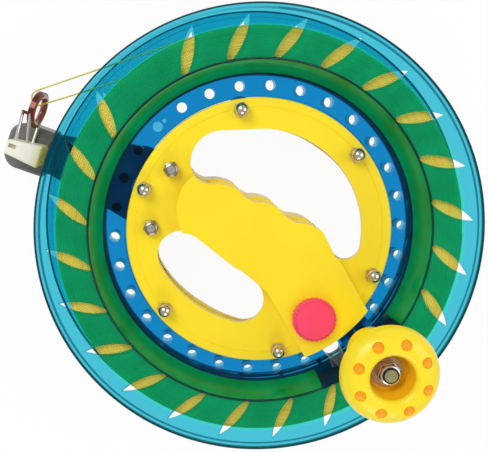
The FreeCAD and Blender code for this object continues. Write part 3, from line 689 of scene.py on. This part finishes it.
def at_height(height: float, *ends: Vector) -> bool:
    """True if all the ends lie at that height."""
    return all(abs(end.z - height) < NEAR for end in ends)


def round_edges(piece: Object, keep: Callable[[Vector, Vector], bool], radius: float,
                steps: int = 3) -> None:
    """Round the sharp edges that a test picks.

    Args:
        piece: The piece.
        keep: Says by its two ends, in millimetres, whether an edge is rounded.
        radius: The rounding's width.
        steps: How many steps it has.
    """
    edit(piece, "EDGE", "DESELECT")
    bpy.ops.mesh.edges_select_sharp(sharpness=math.radians(SHARP))
    done()
    mesh = piece.data
    for edge in mesh.edges:
        if edge.select:
            edge.select = keep(*(mesh.vertices[k].co / MM for k in edge.vertices))
    for part in (*mesh.vertices, *mesh.polygons):
        part.select = False
    bpy.ops.object.mode_set(mode="EDIT")
    bpy.ops.mesh.bevel(offset=radius * MM, segments=steps, affect="EDGES",
                       clamp_overlap=True, loop_slide=True)
    done()


def span(side: Side, low: float, high: float) -> list[float]:
    """Two heights counted from the middle plane, as part heights in order."""
    return sorted((MID_Z + side.value * low, MID_Z + side.value * high))


def deliver(piece: Object, body: Body, slot: str, materials: Sequence[Material], *nodes: str,
            smooth: float) -> None:
    """Finish a piece: shade it, dress it, and hang it on its body.

    Args:
        piece: The piece, its place already in its mesh.
        body: The CAD body it moves with.
        slot: The record's material slot it belongs to. It is not used.
        materials: Its finishes, one for each material number its faces use.
        nodes: The CAD nodes it stands for.
        smooth: Edges up to this many degrees are shaded smooth.
    """
    hold(piece)
    meshed = piece.type == "MESH"
    if meshed:
        bpy.ops.object.shade_smooth_by_angle(angle=math.radians(smooth))
    faces = piece.data.polygons if meshed else []
    numbers = [face.material_index for face in faces]
    piece.data.materials.clear()
    for material in materials:
        piece.data.materials.append(material)
    for number, face in zip(numbers, faces):
        face.material_index = number
    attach(piece, body.value)
    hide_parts(*nodes)
    LOG.info("%s rides on %s", piece.name, body.value)


# Camera, lights and floor


@dataclass
class Studio:
    """The photograph's camera, a pale floor and soft light."""

    eye: Point3 = (-38.5, 59.6, 423.6)
    tilt_x: float = 9.11
    tilt_y: float = 2.39
    focal_px: float = 787.0
    centre_px: Point = (214.8, 237.3)
    frame_px: Point = (488.0, 452.0)
    sensor: float = 36.0
    floor_size: float = 2400.0
    lamps: tuple[tuple[str, Point3, float, float], ...] = (
        ("key_lamp", (-520.0, 640.0, 900.0), 620.0, 6.8),
        ("fill_lamp", (760.0, 120.0, 700.0), 700.0, 2.6),
        ("low_lamp", (60.0, -820.0, 560.0), 500.0, 2.3),
    )
    world_light: float = 0.47

    def camera(self) -> None:
        """Stand the camera where the photograph was taken from."""
        data = bpy.data.cameras.new("camera")
        data.sensor_width = self.sensor
        data.lens = self.focal_px * self.sensor / self.frame_px[0]
        data.shift_x = (self.frame_px[0] / 2 - self.centre_px[0]) / self.frame_px[0]
        data.shift_y = (self.centre_px[1] - self.frame_px[1] / 2) / self.frame_px[0]
        data.clip_start = 0.01
        look = (Matrix.Rotation(math.radians(self.tilt_x), 3, "X")
                @ Matrix.Rotation(math.radians(self.tilt_y), 3, "Y"))
        camera = linked("camera", data)
        camera.matrix_world = Matrix.Translation(Vector(self.eye) * MM) @ look.transposed().to_4x4()
        bpy.context.scene.camera = camera

    def lights(self) -> None:
        """Hang the square lamps, facing the winder's middle, and set the world's even light."""
        for name, place, size, power in self.lamps:
            data = bpy.data.lights.new(name, "AREA")
            data.size = size * MM
            data.energy = power
            lamp = linked(name, data)
            lamp.location = Vector(place) * MM
            aim = Vector((0, 0, MID_Z * MM)) - Vector(place) * MM
            lamp.rotation_euler = aim.to_track_quat("-Z", "Y").to_euler()
        world = bpy.data.worlds.new("studio")
        world.use_nodes = True
        back = world.node_tree.nodes["Background"]
        back.inputs["Color"].default_value = (1.0, 1.0, 1.0, 1.0)
        back.inputs["Strength"].default_value = self.world_light
        bpy.context.scene.world = world
        bpy.context.scene.view_settings.view_transform = "Standard"

    def floor(self) -> None:
        """Lay the floor under the winder's back."""
        deselect()
        bpy.ops.mesh.primitive_plane_add(size=self.floor_size * MM, location=(0, 0, -0.2 * MM))
        floor = named(bpy.context.object, "floor")
        floor.data.materials.append(
            PaleFloor("pale_floor", (0.93, 0.93, 0.93), (1.0, 1.0, 1.0)).make())
        LOG.info("floor is laid")


# Line


@dataclass
class FreeLine:
    """The line's two strands, from the winding over the guide ring and back."""

    diameter: float = 0.8
    route: tuple[Point, ...] = (
        (-31.95, 95.50), (-106.38, 70.51), (-110.93, 68.98), (-112.16, 65.50),
        (-109.86, 61.82), (-105.27, 63.22), (-67.20, 74.83),
    )
    length: float = 134.9

    def build(self, finishes: Finishes) -> None:
        data = bpy.data.curves.new("free_line_run", "CURVE")
        data.dimensions = "3D"
        data.bevel_depth = self.diameter / 2 * MM
        data.bevel_resolution = 4
        data.use_fill_caps = True
        spline = data.splines.new("NURBS")
        spline.points.add(len(self.route) - 1)
        for knot, (x, y) in zip(spline.points, self.route):
            knot.co = (x * MM, y * MM, MID_Z * MM, 1.0)
        spline.order_u = 3
        spline.use_endpoint_u = True
        spline.resolution_u = 16
        line = linked("free_line_run", data)
        deliver(line, Body.HUB, "line", [finishes["free"]], "free_line", smooth=0.0)
        start = Vector((*self.route[0], MID_Z)) * MM


@dataclass
class Winding:
    """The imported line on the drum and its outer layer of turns."""

    inner: float = 84.8
    core: float = 99.05
    outside: float = 99.9
    half_width: float = 15.85
    line: float = 0.8
    turns: int = 37
    layers: int = 15
    ridge: float = 0.45
    section_sides: int = 8
    turn_steps: int = 120

    def _ridged_profile(self) -> list[Point]:
        """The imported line's section, with one ridge per layer on both sides."""
        step = (self.core - self.inner) / self.layers
        low, high = [], []
        for layer in range(self.layers):
            for t in (0.0, 0.25, 0.5, 0.75):
                radius = self.inner + (layer + t) * step
                reach = self.half_width - self.ridge * (1 - math.sin(math.pi * t))
                high.append((radius, MID_Z + reach))
                low.append((radius, MID_Z - reach))
        end = self.half_width - self.ridge
        high.append((self.core, MID_Z + end))
        low.append((self.core, MID_Z - end))
        return high + low[::-1]

    def packed(self, finishes: Finishes) -> None:
        """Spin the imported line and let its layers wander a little, as hand winding does."""
        piece = lathe("packed_line", self._ridged_profile(), 180)
        for vertex in piece.data.vertices:
            x, y, z = vertex.co / MM
            radius = math.hypot(x, y)
            if self.inner + 0.5 < radius < self.core - 0.5:
                angle = math.atan2(y, x)
                wander = (0.30 * math.sin(3 * angle + 0.7 * radius)
                          + 0.16 * math.sin(11 * angle - 1.9 * radius))
                scale = 1 + wander / radius
                vertex.co = Vector((x * scale, y * scale, z)) * MM
        deliver(piece, Body.WHEEL, "line", [finishes["wound"]], "line_core", smooth=75.0)

    def outer_turns(self, finishes: Finishes) -> None:
        """Screw one round section into the layer of turns that shows between the flanges."""
        centre = self.outside - self.line / 2
        travel = 2 * (self.half_width - self.line / 2)
        start = MID_Z - travel / 2
        section = circle_points(self.line / 2, count=self.section_sides)
        piece = outline("outer_turns", [(centre + x, 0.0, start + z) for x, z in section],
                        "NOTHING")
        modify(piece, "SCREW", angle=math.tau, iterations=self.turns, steps=self.turn_steps,
               render_steps=self.turn_steps, screw_offset=travel / self.turns * MM, axis="Z",
               use_merge_vertices=True, merge_threshold=0.001 * MM)
        edit(piece, "EDGE", "DESELECT")
        bpy.ops.mesh.select_non_manifold()
        bpy.ops.mesh.edge_face_add()
        done()
        deliver(merged(piece), Body.WHEEL, "line", [finishes["wound"]], "line_turns",
                smooth=80.0)

    def build(self, finishes: Finishes) -> None:
        """Make both pieces."""
        self.packed(finishes)
        self.outer_turns(finishes)


# Wheel


@dataclass
class Wheel:
    """The see-through wheel: two shells with leaf slots, web holes and the lock's slot."""

    rim: float = 110.0
    flange_front: float = 18.5
    flange_back: float = 16.0
    rim_front: float = 20.0
    bead: float = 1.6
    dish_top: float = 84.0
    dish_foot: float = 77.7
    web: float = 5.0
    drum: float = 84.7
    drum_wall: float = 2.5
    race: float = 67.6
    bore: float = 66.6
    race_half: float = 2.7
    slot_count: int = 24
    slot_missing: int = 8
    slot_first: float = 3.5
    slot_sweep: float = 7.0
    slot_tip: float = 104.8
    slot_root: float = 85.8
    slot_half: float = 2.7
    slot_blunt: float = 1.5
    ridges: tuple[float, ...] = (106.2, 104.4, 102.6, 101.2)
    line_reach: float = 100.2
    hole_count: int = 30
    hole_circle: float = 72.3
    hole_radius: float = 2.5
    anchor_angle: float = 130.5
    anchor_radius: float = 1.0
    seam: float = 0.06
    front_only_hole: int = 16
    pad_inner: float = 76.5
    lock_slot_end: float = 78.4
    lock_slot_half: float = 4.4
    pad_front: Point = (292.0, 327.0)
    pad_rear: Point = (306.5, 320.0)
    boss_radius: float = 5.0
    bolt_hole: float = 3.05
    bolt_head: float = 10.0
    bolt_head_room: Point = (16.0, 21.0)
    turn_steps: int = 240

    def _rim_profile(self) -> list[Point]:
        """The flange's rounded edge, from its back to its front."""
        middle = (self.flange_back - 1.0 + self.rim_front) / 2
        half = (self.rim_front - self.flange_back + 1.0) / 2
        bead = [(self.rim - self.bead + self.bead * math.cos(math.radians(t)),
                 middle + half * math.sin(math.radians(t))) for t in range(-90, 91, 18)]
        return [(self.rim - 3.0, self.flange_back)] + bead + [
            (self.rim - 2.7, self.rim_front - 0.5), (self.rim - 3.1, self.flange_front)]

    def _flange_face(self) -> list[Point]:
        """The flange's front from its rim inwards, with fine turned ridges by the rim."""
        points = []
        for ridge in self.ridges:
            points += [(ridge + 0.3, self.flange_front), (ridge, self.flange_front - 0.12),
                       (ridge - 0.3, self.flange_front)]
        return points + [(self.line_reach, self.flange_front)]

    def _profile(self) -> list[Point]:
        """Half of the wheel's section, its height counted from the middle plane."""
        groove_in, groove_out = self.dish_foot + 1.8, self.drum - self.drum_wall
        top, foot, front = self.dish_top, self.dish_foot, self.flange_front
        return [
            (self.race, self.seam), (groove_in, self.seam), (groove_in, self.web - 2.0),
            (groove_out, self.web + 4.0), (groove_out, self.seam), (self.drum, self.seam),
            (self.drum, self.flange_back - 0.5), (self.drum + 0.5, self.flange_back),
            (self.line_reach, self.flange_back), *self._rim_profile(), *self._flange_face(),
            (top + 0.7, front), (top + 0.2, front - 0.2), (top - 0.3, front - 0.8),
            (foot + 1.05, self.web + 2.4), (foot + 0.35, self.web + 0.8),
            (foot, self.web + 0.25), (foot - 0.6, self.web),
            (self.bore + 0.3, self.web), (self.bore, self.web - 0.3),
            (self.bore, self.race_half), (self.race, self.race_half),
        ]

    def _leaf(self, angle: float) -> list[Point]:
        """One leaf-shaped slot's outline, its tip at that angle."""
        tip, root = polar(self.slot_tip, angle), polar(self.slot_root, angle + self.slot_sweep)
        middle = ((tip[0] + root[0]) / 2, (tip[1] + root[1]) / 2)
        along = math.atan2(tip[1] - root[1], tip[0] - root[0])

        def beside(spot: Point, out: float, back: float = 0.0) -> Point:
            """A point beside the leaf's middle line and behind that spot."""
            return (spot[0] + out * math.sin(along) - back * math.cos(along),
                    spot[1] - out * math.cos(along) - back * math.sin(along))

        near, far = beside(root, self.slot_blunt), beside(root, -self.slot_blunt)
        return (arc_through(tip, beside(middle, self.slot_half), near, 12)
                + arc_through(near, beside(root, 0.0, self.slot_blunt), far, 6)
                + arc_through(far, beside(middle, -self.slot_half), tip, 12))

    def _lock_slot(self) -> list[Point]:
        """The outline of the slot in the web that the lock slides into."""
        half, start = self.lock_slot_half, self.bore - 3
        end = self.lock_slot_end - half
        slot = [(start, -half), (end, -half)]
        slot += arc_through((end, -half), (end + half, 0.0), (end, half), 14)
        return turned(slot + [(end, half), (start, half)], LOCK_ANGLE)

    def _cutters(self, side: Side) -> list[Object]:
        """The leaf slots, joined, and the web's holes and slot, joined, of one shell."""
        through = span(side, -1.0, self.rim_front + 1)
        flange = span(side, self.flange_back - 1, self.rim_front + 1)
        step = 360.0 / self.slot_count
        leaves = [prism("leaf", self._leaf(self.slot_first + step * k), *flange)
                  for k in range(self.slot_count) if k != self.slot_missing]
        step = 360.0 / self.hole_count
        rings = [circle_points(self.hole_radius, polar(self.hole_circle, LOCK_ANGLE + step * k), 28)
                 for k in range(2, self.hole_count)
                 if side is Side.FRONT or k != self.front_only_hole]
        if side is Side.FRONT:
            anchor = polar(self.hole_circle, self.anchor_angle)
            rings.append(circle_points(self.anchor_radius, anchor, 16))
        holes = [prism("hole", ring, *through) for ring in rings]
        holes.append(prism("lock_slot", self._lock_slot(), *through))
        return [join(leaves, "leaves"), join(holes, "holes")]

    def _pad_span(self, side: Side) -> Point:
        """The angles between which that shell's pad stands."""
        return self.pad_front if side is Side.FRONT else self.pad_rear

    def _pad(self, side: Side) -> Object:
        """The block that fills the dish where the knob stands."""
        steps = 24
        first, last = self._pad_span(side)
        outer = [polar(self.dish_top + 0.5, first + (last - first) * k / steps)
                 for k in range(steps + 1)]
        inner = [polar(self.pad_inner, last - (last - first) * k / steps)
                 for k in range(steps + 1)]
        return prism("pad", outer + inner, *span(side, self.web - 1.2, self.flange_front))

    def _zone(self, spot: Vector, side: Side) -> Zone:
        """Find the zone of a face by how thick the plastic is and what lies behind it.

        Args:
            spot: The face's middle.
            side: The shell it belongs to.

        Returns:
            The zone.
        """
        first, last = self._pad_span(side)
        radius = math.hypot(spot.x, spot.y)
        angle = math.degrees(math.atan2(spot.y, spot.x)) % 360
        height = (spot.z - MID_Z) * side.value
        in_pad = first - 0.3 <= angle <= last + 0.3
        out = (height - self.web) / (self.flange_front - self.web)
        slope = self.dish_foot + out * (self.dish_top - self.dish_foot)
        on_slope = height > self.web + 0.1 and abs(radius - slope) < 0.7
        on_edge = abs(radius - self.dish_top - 0.2) < 0.6 and height > self.flange_back
        if in_pad and self.pad_inner - 0.2 < radius < self.dish_top + 0.6 and height > 4.0:
            return Zone.PAD
        # The slope's lowest faces take the foot's painted shadow.
        if on_slope and radius < self.dish_foot + 0.5:
            return Zone.FOOT
        # The slope's faces take the painted reflection of the line.
        if on_slope and radius < self.dish_top - 0.2:
            return Zone.SLOPE
        if radius < self.dish_foot + 0.2:
            return Zone.WEB
        # The rim's edge and the dish's top edge take the dark painted shade.
        if on_edge or radius > self.rim - 0.8:
            return Zone.LINE_EDGE
        # The flange over the line takes the green painted light.
        if self.drum - 0.1 < radius < self.line_reach:
            return Zone.OVER_LINE
        return Zone.FLANGE

    def shell(self, side: Side, finishes: Finishes) -> None:
        """Make one shell of the wheel."""
        facing = side.name.lower()
        profile = [(radius, MID_Z + side.value * z) for radius, z in self._profile()]
        piece = lathe("clear_wheel_" + facing, profile, self.turn_steps)
        combine(piece, self._pad(side), "UNION")
        boss = circle_points(self.boss_radius, KNOB_PLACE, 32)
        combine(piece, prism("boss", boss, *span(side, self.seam, self.web)), "UNION")
        for cutter in self._cutters(side):
            combine(piece, cutter)
        bolt = circle_points(self.bolt_hole, KNOB_PLACE, 28)
        combine(piece, prism("bolt_hole", bolt, *span(side, -1.0, self.rim_front + 1)))
        if side is Side.REAR:
            head = circle_points(self.bolt_head / math.sqrt(3) + 0.3, KNOB_PLACE, 36)
            combine(piece, prism("head_room", head, *span(side, *self.bolt_head_room)))
        front = MID_Z + side.value * self.flange_front
        round_edges(piece, lambda a, b: at_height(front, a, b) and math.hypot(a.x, a.y) > 86.0,
                    0.35, 2)
        for face in piece.data.polygons:
            face.material_index = self._zone(face.center / MM, side).value
        deliver(piece, Body.WHEEL, "blue_clear_plastic",
                [finishes[zone.name.lower()] for zone in Zone], facing + "_wheel_shell",
                smooth=32.0)

    def build(self, finishes: Finishes) -> None:
        """Make both shells."""
        for side in Side:
            self.shell(side, finishes)


# Hub


def upper_opening(edge: float) -> list[Point]:
    """The finger opening's outline, with the grooves for three fingers."""
    radius = edge - 15.1
    right, crown = polar(radius, -6.5), polar(radius, 87.0)
    left, shoulder = (-34.3, 35.4), (-25.5, 24.7)
    spots = [shoulder, (-17.6, 24.5), (-11.3, 22.0), (-7.8, 18.4), (-2.9, 15.9), (3.4, 15.3),
             (8.4, 13.0), (12.2, 8.7), (17.2, 5.6), (24.4, 4.5), (30.2, 1.2), (33.6, -5.0),
             (36.6, -11.2)]
    points = arc_through(right, polar(radius, 40.0), crown, 36)
    points += [crown] + arc_through((-17.0, 50.4), (-30.6, 44.6), left, 10)
    points += arc_through(left, (-32.3, 28.6), shoulder, 8)
    for k in range(0, 12, 2):
        points += arc_through(spots[k], spots[k + 1], spots[k + 2], 7)
    return points + arc_through(spots[-1], (43.5, -14.2), right, 12)


def lower_opening() -> list[Point]:
    """The palm opening's outline, a bean."""
    right, left = (-2.4, -24.8), (-31.2, -1.6)
    outer_left, outer_right = (-49.6, -16.7), (-14.6, -45.2)
    return ([right] + arc_through(left, (-50.2, -6.9), outer_left, 16)
            + arc_through(outer_left, (-34.2, -35.0), outer_right, 14)
            + arc_through(outer_right, (1.6, -38.0), right, 16))


@dataclass
class Hub:
    """The yellow hub: two round plates, each with a raised hand grip."""

    edge: float = 66.3
    rear_grip: float = 57.0
    plate_low: float = 3.5
    plate_high: float = 8.6
    plate_round: float = 0.8
    grip_front: float = 16.6
    grip_rear: float = 29.0
    grip_round: float = 2.5
    tab_lean: float = 1.8
    tab_left: float = 11.9
    tab_right: float = 26.9
    hole_wall: float = 1.8
    bearing_circle: float = 61.0
    bearing_first: float = 39.0
    screw_hole: float = 2.05
    bolt_x: float = 51.7
    bolt_spread: float = 30.4
    stem_circle: float = 50.1
    stem_travel: float = 7.5
    stem_room: float = 3.2
    arm_room: Point = (45.0, 110.0)
    arm_root_width: float = 40.0
    lean: Point = (0.232, -0.154)
    lean_levels: tuple[Point, ...] = ((8.6, 0.0), (0.0, 5.2), (-8.6, 17.2))

    def _openings(self) -> list[list[Point]]:
        """The outlines of both hand openings."""
        return [upper_opening(self.edge), lower_opening()]

    def _grip_outline(self, radius: float) -> list[Point]:
        """The raised grip's outline, out to its tab on the given radius."""
        left, right, angle = self.tab_left, self.tab_right, LOCK_ANGLE - self.tab_lean
        first, last, neck_right, neck_left = turned([
            (math.sqrt(radius ** 2 - left ** 2), -left),
            (math.sqrt(radius ** 2 - right ** 2), right), (28.0, right), (26.5, -left)], angle)
        points = [last, neck_right, (33.0, 4.0), (8.0, 22.0)]
        points += arc_through((-30.0, 31.0), (-41.5, 12.5), (-34.0, -4.0), 12)
        points += [(-34.0, -4.0), (-8.0, -19.0), neck_left]
        return points + arc_through(first, polar(radius, angle), last, 16)

    def arm_bolt_places(self) -> list[Point]:
        """Where the arm's two bolts stand."""
        half = self.bolt_spread / 2
        return turned([(self.bolt_x, -half), (self.bolt_x, half)], ARM_ANGLE)

    def _screw_places(self) -> list[Point]:
        """Where the hub's screws and the arm's bolts stand."""
        places = [polar(self.bearing_circle, self.bearing_first + 60.0 * k) for k in range(6)]
        return places + self.arm_bolt_places()

    def _raised_grip(self, side: Side, height: float) -> Object:
        """The grip with its openings cut and its edge rounded."""
        radius = self.edge if side is Side.FRONT else self.rear_grip
        grip = prism("grip", self._grip_outline(radius),
                     *span(side, self.plate_high - 0.6, height))
        for opening in self._openings():
            combine(grip, prism("opening", opening, *span(side, 0.0, height + 1.0)))
        top = MID_Z + side.value * height
        modify(grip, "WELD", merge_threshold=0.15 * MM)
        round_edges(grip, lambda a, b: at_height(top, a, b), self.grip_round, 5)
        return grip

    def _plate(self, side: Side) -> Object:
        """The round plate, with its soft rim and the fine groove inside it."""
        plate = prism("plate", circle_points(self.edge, count=180),
                      *span(side, self.plate_low, self.plate_high))
        edit_faces(plate, MID_Z + side.value * self.plate_high)
        for thickness, sink in ((4.3, 0.0), (0.22, -0.28), (0.3, 0.0), (0.22, 0.28)):
            bpy.ops.mesh.inset(thickness=thickness * MM)
            bpy.ops.transform.translate(value=(0, 0, side.value * sink * MM))
        done()
        round_edges(plate, lambda a, b: min(math.hypot(a.x, a.y), math.hypot(b.x, b.y))
                    > self.edge - 0.1, self.plate_round)
        return plate

    def _leaning(self, opening: Sequence[Point], side: Side) -> Object:
        """An opening swept through one shell, leaning further out towards the back.

        Args:
            opening: The opening's outline on the front plate.
            side: The shell it runs through.

        Returns:
            The closed sweep, which runs just past the shell's two faces.
        """
        levels = self.lean_levels[:2] if side is Side.FRONT else self.lean_levels[1:]
        (high, high_lean), (low, low_lean) = levels
        high, low = high + NEAR, low - NEAR
        piece = outline("leaning", [(x, y, MID_Z + low) for x, y in opening])
        shift = Vector((*self.lean, 0.0)) * MM
        edit(piece)
        bpy.ops.transform.translate(value=shift * low_lean)
        extrude(shift * (high_lean - low_lean) + Vector((0, 0, high - low)) * MM)
        done()
        return merged(piece)

    def _stem_slot(self) -> Object:
        """The slot in the front grip for the lock button's stem."""
        start, end, room = self.stem_circle, self.stem_circle + self.stem_travel, self.stem_room
        points = [(start, -room)] + arc_through((end, -room), (end + room, 0), (end, room), 10)
        points.append((end, room))
        points += arc_through((start, room), (start - room, 0), (start, -room), 10)[1:]
        return prism("stem_slot", turned(points, LOCK_ANGLE), MID_Z + 0.5,
                     MID_Z + self.grip_front + 1)

    def _arm_room(self) -> Object:
        """The room in the rear shell for the guide arm's root."""
        (start, end), half = self.arm_room, self.arm_root_width / 2
        root = turned([(start, -half), (end, -half), (end, half), (start, half)], ARM_ANGLE)
        return prism("arm_room", root, -1.0, MID_Z - self.plate_high)

    def shell(self, side: Side, finishes: Finishes) -> None:
        """Make one shell of the hub."""
        facing = side.name.lower()
        height = self.grip_front if side is Side.FRONT else self.grip_rear
        shell = self._plate(side)
        walls = [prism("wall", opening, *span(side, 0.05, self.plate_low + 0.5), self.hole_wall)
                 for opening in self._openings()]
        for wall in walls:
            combine(shell, wall, "UNION")
        for opening in self._openings():
            combine(shell, prism("opening", opening, *span(side, -1.0, height + 1.0)))
            combine(shell, self._leaning(opening, side))
        modify(shell, "WELD", merge_threshold=0.02 * MM)
        combine(shell, self._raised_grip(side, height), "UNION")
        for place in self._screw_places():
            hole = circle_points(self.screw_hole, place, 16)
            combine(shell, prism("screw_hole", hole, *span(side, 0.0, height + 1.0)))
        combine(shell, self._stem_slot() if side is Side.FRONT else self._arm_room())
        deliver(named(shell, "hub_" + facing), Body.HUB, "yellow_plastic",
                [finishes["yellow"]], facing + "_hub_shell", smooth=35.0)

    def build(self, finishes: Finishes) -> None:
        """Make both shells."""
        for side in Side:
            self.shell(side, finishes)


# Knob, lock and nuts


@dataclass
class Knob:
    """The winding knob: a bun on a flared stem, with a nut's recess and dimples."""

    foot: float = 48.0
    height: float = 46.0
    recess_depth: float = 13.3
    recess: float = 10.3
    bolt_hole: float = 3.05
    foot_recess: Point = (6.12, 5.3)
    dimple_count: int = 8
    dimple_circle: float = 16.7
    dimple_radius: float = 2.7
    dimple_first: float = 26.8

    def _profile(self) -> list[Point]:
        """The knob's section, its heights counted from its foot."""
        top, floor = self.height, self.height - self.recess_depth
        flare, widest, crown = (12.0, 22.0), (22.9, 37.5), (13.8, top)
        lip, (pocket, ceiling) = (self.recess, top - 2.6), self.foot_recess
        points = [(11.3, 0.0), (11.6, 0.3)]
        points += arc_through((11.6, 2.0), (9.6, 13.0), flare, 16)
        points += arc_through(flare, (18.1, 32.3), widest, 14)
        points += arc_through(widest, (20.4, 43.3), crown, 20)
        points += arc_through(crown, (self.recess + 0.78, top - 0.78), lip, 8)
        return points + [lip, (9.35, floor + 0.6), (8.8, floor), (self.bolt_hole, floor),
                         (self.bolt_hole, ceiling), (pocket, ceiling), (pocket, 0.0)]

    def build(self, finishes: Finishes) -> None:
        """Spin the knob, press the dimples, and paint shade into the dimples and the recess."""
        profile = [(radius, self.foot + z) for radius, z in self._profile()]
        knob = lathe("winding_grip_knob", profile)
        top, step = self.foot + self.height, 360.0 / self.dimple_count
        dimples = [(*polar(self.dimple_circle, self.dimple_first + step * k), top)
                   for k in range(self.dimple_count)]
        for dimple in dimples:
            deselect()
            bpy.ops.mesh.primitive_uv_sphere_add(
                segments=32, ring_count=20, radius=self.dimple_radius * MM,
                location=[c * MM for c in dimple])
            bpy.ops.object.transform_apply(location=True, rotation=False, scale=False)
            combine(knob, bpy.context.object)
        # Material 1 is the dimples' painted shade, material 2 the recess's painted shade.
        for face in knob.data.polygons:
            spot = face.center / MM
            near = min(math.dist(spot, dimple) for dimple in dimples)
            inside = math.hypot(spot.x, spot.y) < self.recess and spot.z > self.foot + 30
            face.material_index = 1 if near < self.dimple_radius * 1.002 else 2 if inside else 0
        move(knob, KNOB_PLACE)
        deliver(knob, Body.KNOB, "yellow_plastic",
                [finishes[name] for name in ("knob", "dimple", "recess")], "winding_knob",
                smooth=38.0)


@dataclass
class LockButton:
    """The pink button with small teeth round its edge, on a stem."""

    circle: float = 50.1
    low: float = 45.9
    height: float = 4.6
    toothed_share: float = 0.55
    radius: float = 11.0
    top_radius: float = 9.8
    teeth: int = 30
    tooth: float = 0.5
    tooth_steps: int = 8
    stem_radius: float = 3.0
    stem_low: float = 32.2
    pin_hole: float = 1.3

    def build(self, finishes: Finishes) -> None:
        """Make the toothed cap and its stem."""
        ring, count = [], self.teeth * self.tooth_steps
        for k in range(count):
            wave = 0.5 + 0.5 * math.cos(math.tau * k / self.tooth_steps)
            ring.append(polar(self.radius - self.tooth * (1 - wave ** 0.6), 360.0 * k / count))
        high = self.low + self.height * self.toothed_share
        cap = prism("lock_cap", ring, self.low, high)
        edit_faces(cap, high)
        share = self.top_radius / self.radius
        for scale, rise in ((0.985, 0.5), (share / 0.985, 0.75), (0.975, 0.5), (0.965, 0.25),
                            (0.93, 0.07)):
            extrude((0, 0, rise * MM))
            bpy.ops.transform.resize(value=(scale, scale, 1.0), center_override=(0, 0, 0))
        done()
        stem = circle_points(self.stem_radius, count=32)
        combine(cap, prism("lock_stem", stem, self.stem_low, self.low + 1.0), "UNION")
        hole = circle_points(self.pin_hole, count=20)
        combine(cap, prism("pin_hole", hole, self.stem_low - 1, self.low - 2.0))
        move(cap, polar(self.circle, LOCK_ANGLE))
        deliver(named(cap, "lock_button_cap"), Body.LOCK, "pink_plastic", [finishes["pink"]],
                "lock_button", smooth=30.0)


@dataclass
class LockNuts:
    """Hexagon nuts, each with a round collar that holds a nylon ring."""

    name: str
    node: str
    body: Body
    finish: str
    places: Sequence[Point]
    low: float
    high: float
    flats: float
    bolt: float
    turn: float
    collar_share: float = 0.32
    nylon_wall: float = 0.36

    def _one(self) -> Object:
        """One nut round the origin."""
        high, shoulder = self.high, self.high - self.collar_share * (self.high - self.low)
        inner, outer = self.bolt + 0.05, self.flats / 2 - 0.3
        ring = inner + self.nylon_wall * (outer - inner) + 0.35
        corner = self.flats / math.sqrt(3)
        points = [polar(corner, self.turn + 60.0 * k) for k in range(6)]
        body = prism("nut", points, self.low, shoulder)
        round_edges(body, lambda a, b: True, 0.3, 2)
        combine(body, prism("bore", circle_points(inner, count=32), self.low - 1, high))
        collar = lathe("collar", [
            (ring, shoulder - 0.3), (outer, shoulder - 0.3), (outer, high - 0.7),
            (outer - 0.25, high - 0.2), (outer - 0.8, high), (ring, high - 0.2)], 48)
        nylon = lathe("nylon", [
            (inner, shoulder), (ring - 0.01, shoulder), (ring - 0.01, high - 0.15),
            (inner, high - 0.35)], 48)
        piece = join([body, collar, nylon], "nut")
        for face in piece.data.polygons:
            x, y, z = face.center / MM
            face.material_index = int(math.hypot(x, y) < ring - 0.005 and z > shoulder - 0.01)
        return piece

    def build(self, finishes: Finishes) -> None:
        """Model one nut and set a copy on every bolt."""
        nuts = copies(self._one(), self.places, self.name)
        deliver(nuts, self.body, "steel", [finishes[self.finish], finishes["nylon"]],
                self.node, smooth=30.0)


# CAD nodes that stay


NODE_FINISHES: dict[str, tuple[str, ...]] = {
    "nickel": ("acorn_nuts",),
    "guide": ("guide_frame",),
    "zinc": ("hub_screws", "arm_bolts", "block_studs", "lock_screw", "bearing_spacers",
             "knob_lock_nut"),
    "bolt_end": ("knob_bolt",),
    "brass": ("knob_washer",),
    "bearing": ("bearing_inner_rings", "bearing_balls",
                *(f"bearing_outer_ring_{k}" for k in range(1, 7))),
    "black": ("guide_arm",),
    "cream": ("guide_block",),
    "ceramic": ("guide_ring",),
    "pink": ("lock_slider",),
}


def dress_nodes(finishes: Finishes) -> None:
    """Give every CAD node that stays its finish."""
    for name, nodes in NODE_FINISHES.items():
        for node in nodes:
            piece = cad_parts[node]
            if not piece.hide_render:
                for slot in piece.material_slots:
                    slot.material = finishes[name]
                LOG.info("%s keeps its CAD shape, in %s", node, name)


def main() -> None:
    """Build the scene in order: camera, cord, each sub-assembly, lights and floor."""
    logging.basicConfig(level=logging.INFO, format="%(name)s: %(message)s")
    finishes = Finishes(PALETTE)
    studio, hub = Studio(), Hub()
    studio.camera()
    FreeLine().build(finishes)
    Winding().build(finishes)
    Wheel().build(finishes)
    hub.build(finishes)
    Knob().build(finishes)
    LockButton().build(finishes)
    LockNuts("knob_top_nut", "knob_nut", Body.WHEEL, "zinc", [KNOB_PLACE],
             low=82.3, high=88.3, flats=10.0, bolt=3.0, turn=12.0).build(finishes)
    LockNuts("arm_top_nuts", "arm_nuts", Body.HUB, "bronze", hub.arm_bolt_places(),
             low=37.6, high=42.6, flats=7.0, bolt=2.0, turn=ARM_ANGLE + 25.0).build(finishes)
    dress_nodes(finishes)
    studio.lights()
    studio.floor()


if __name__ == "__main__":
    main()
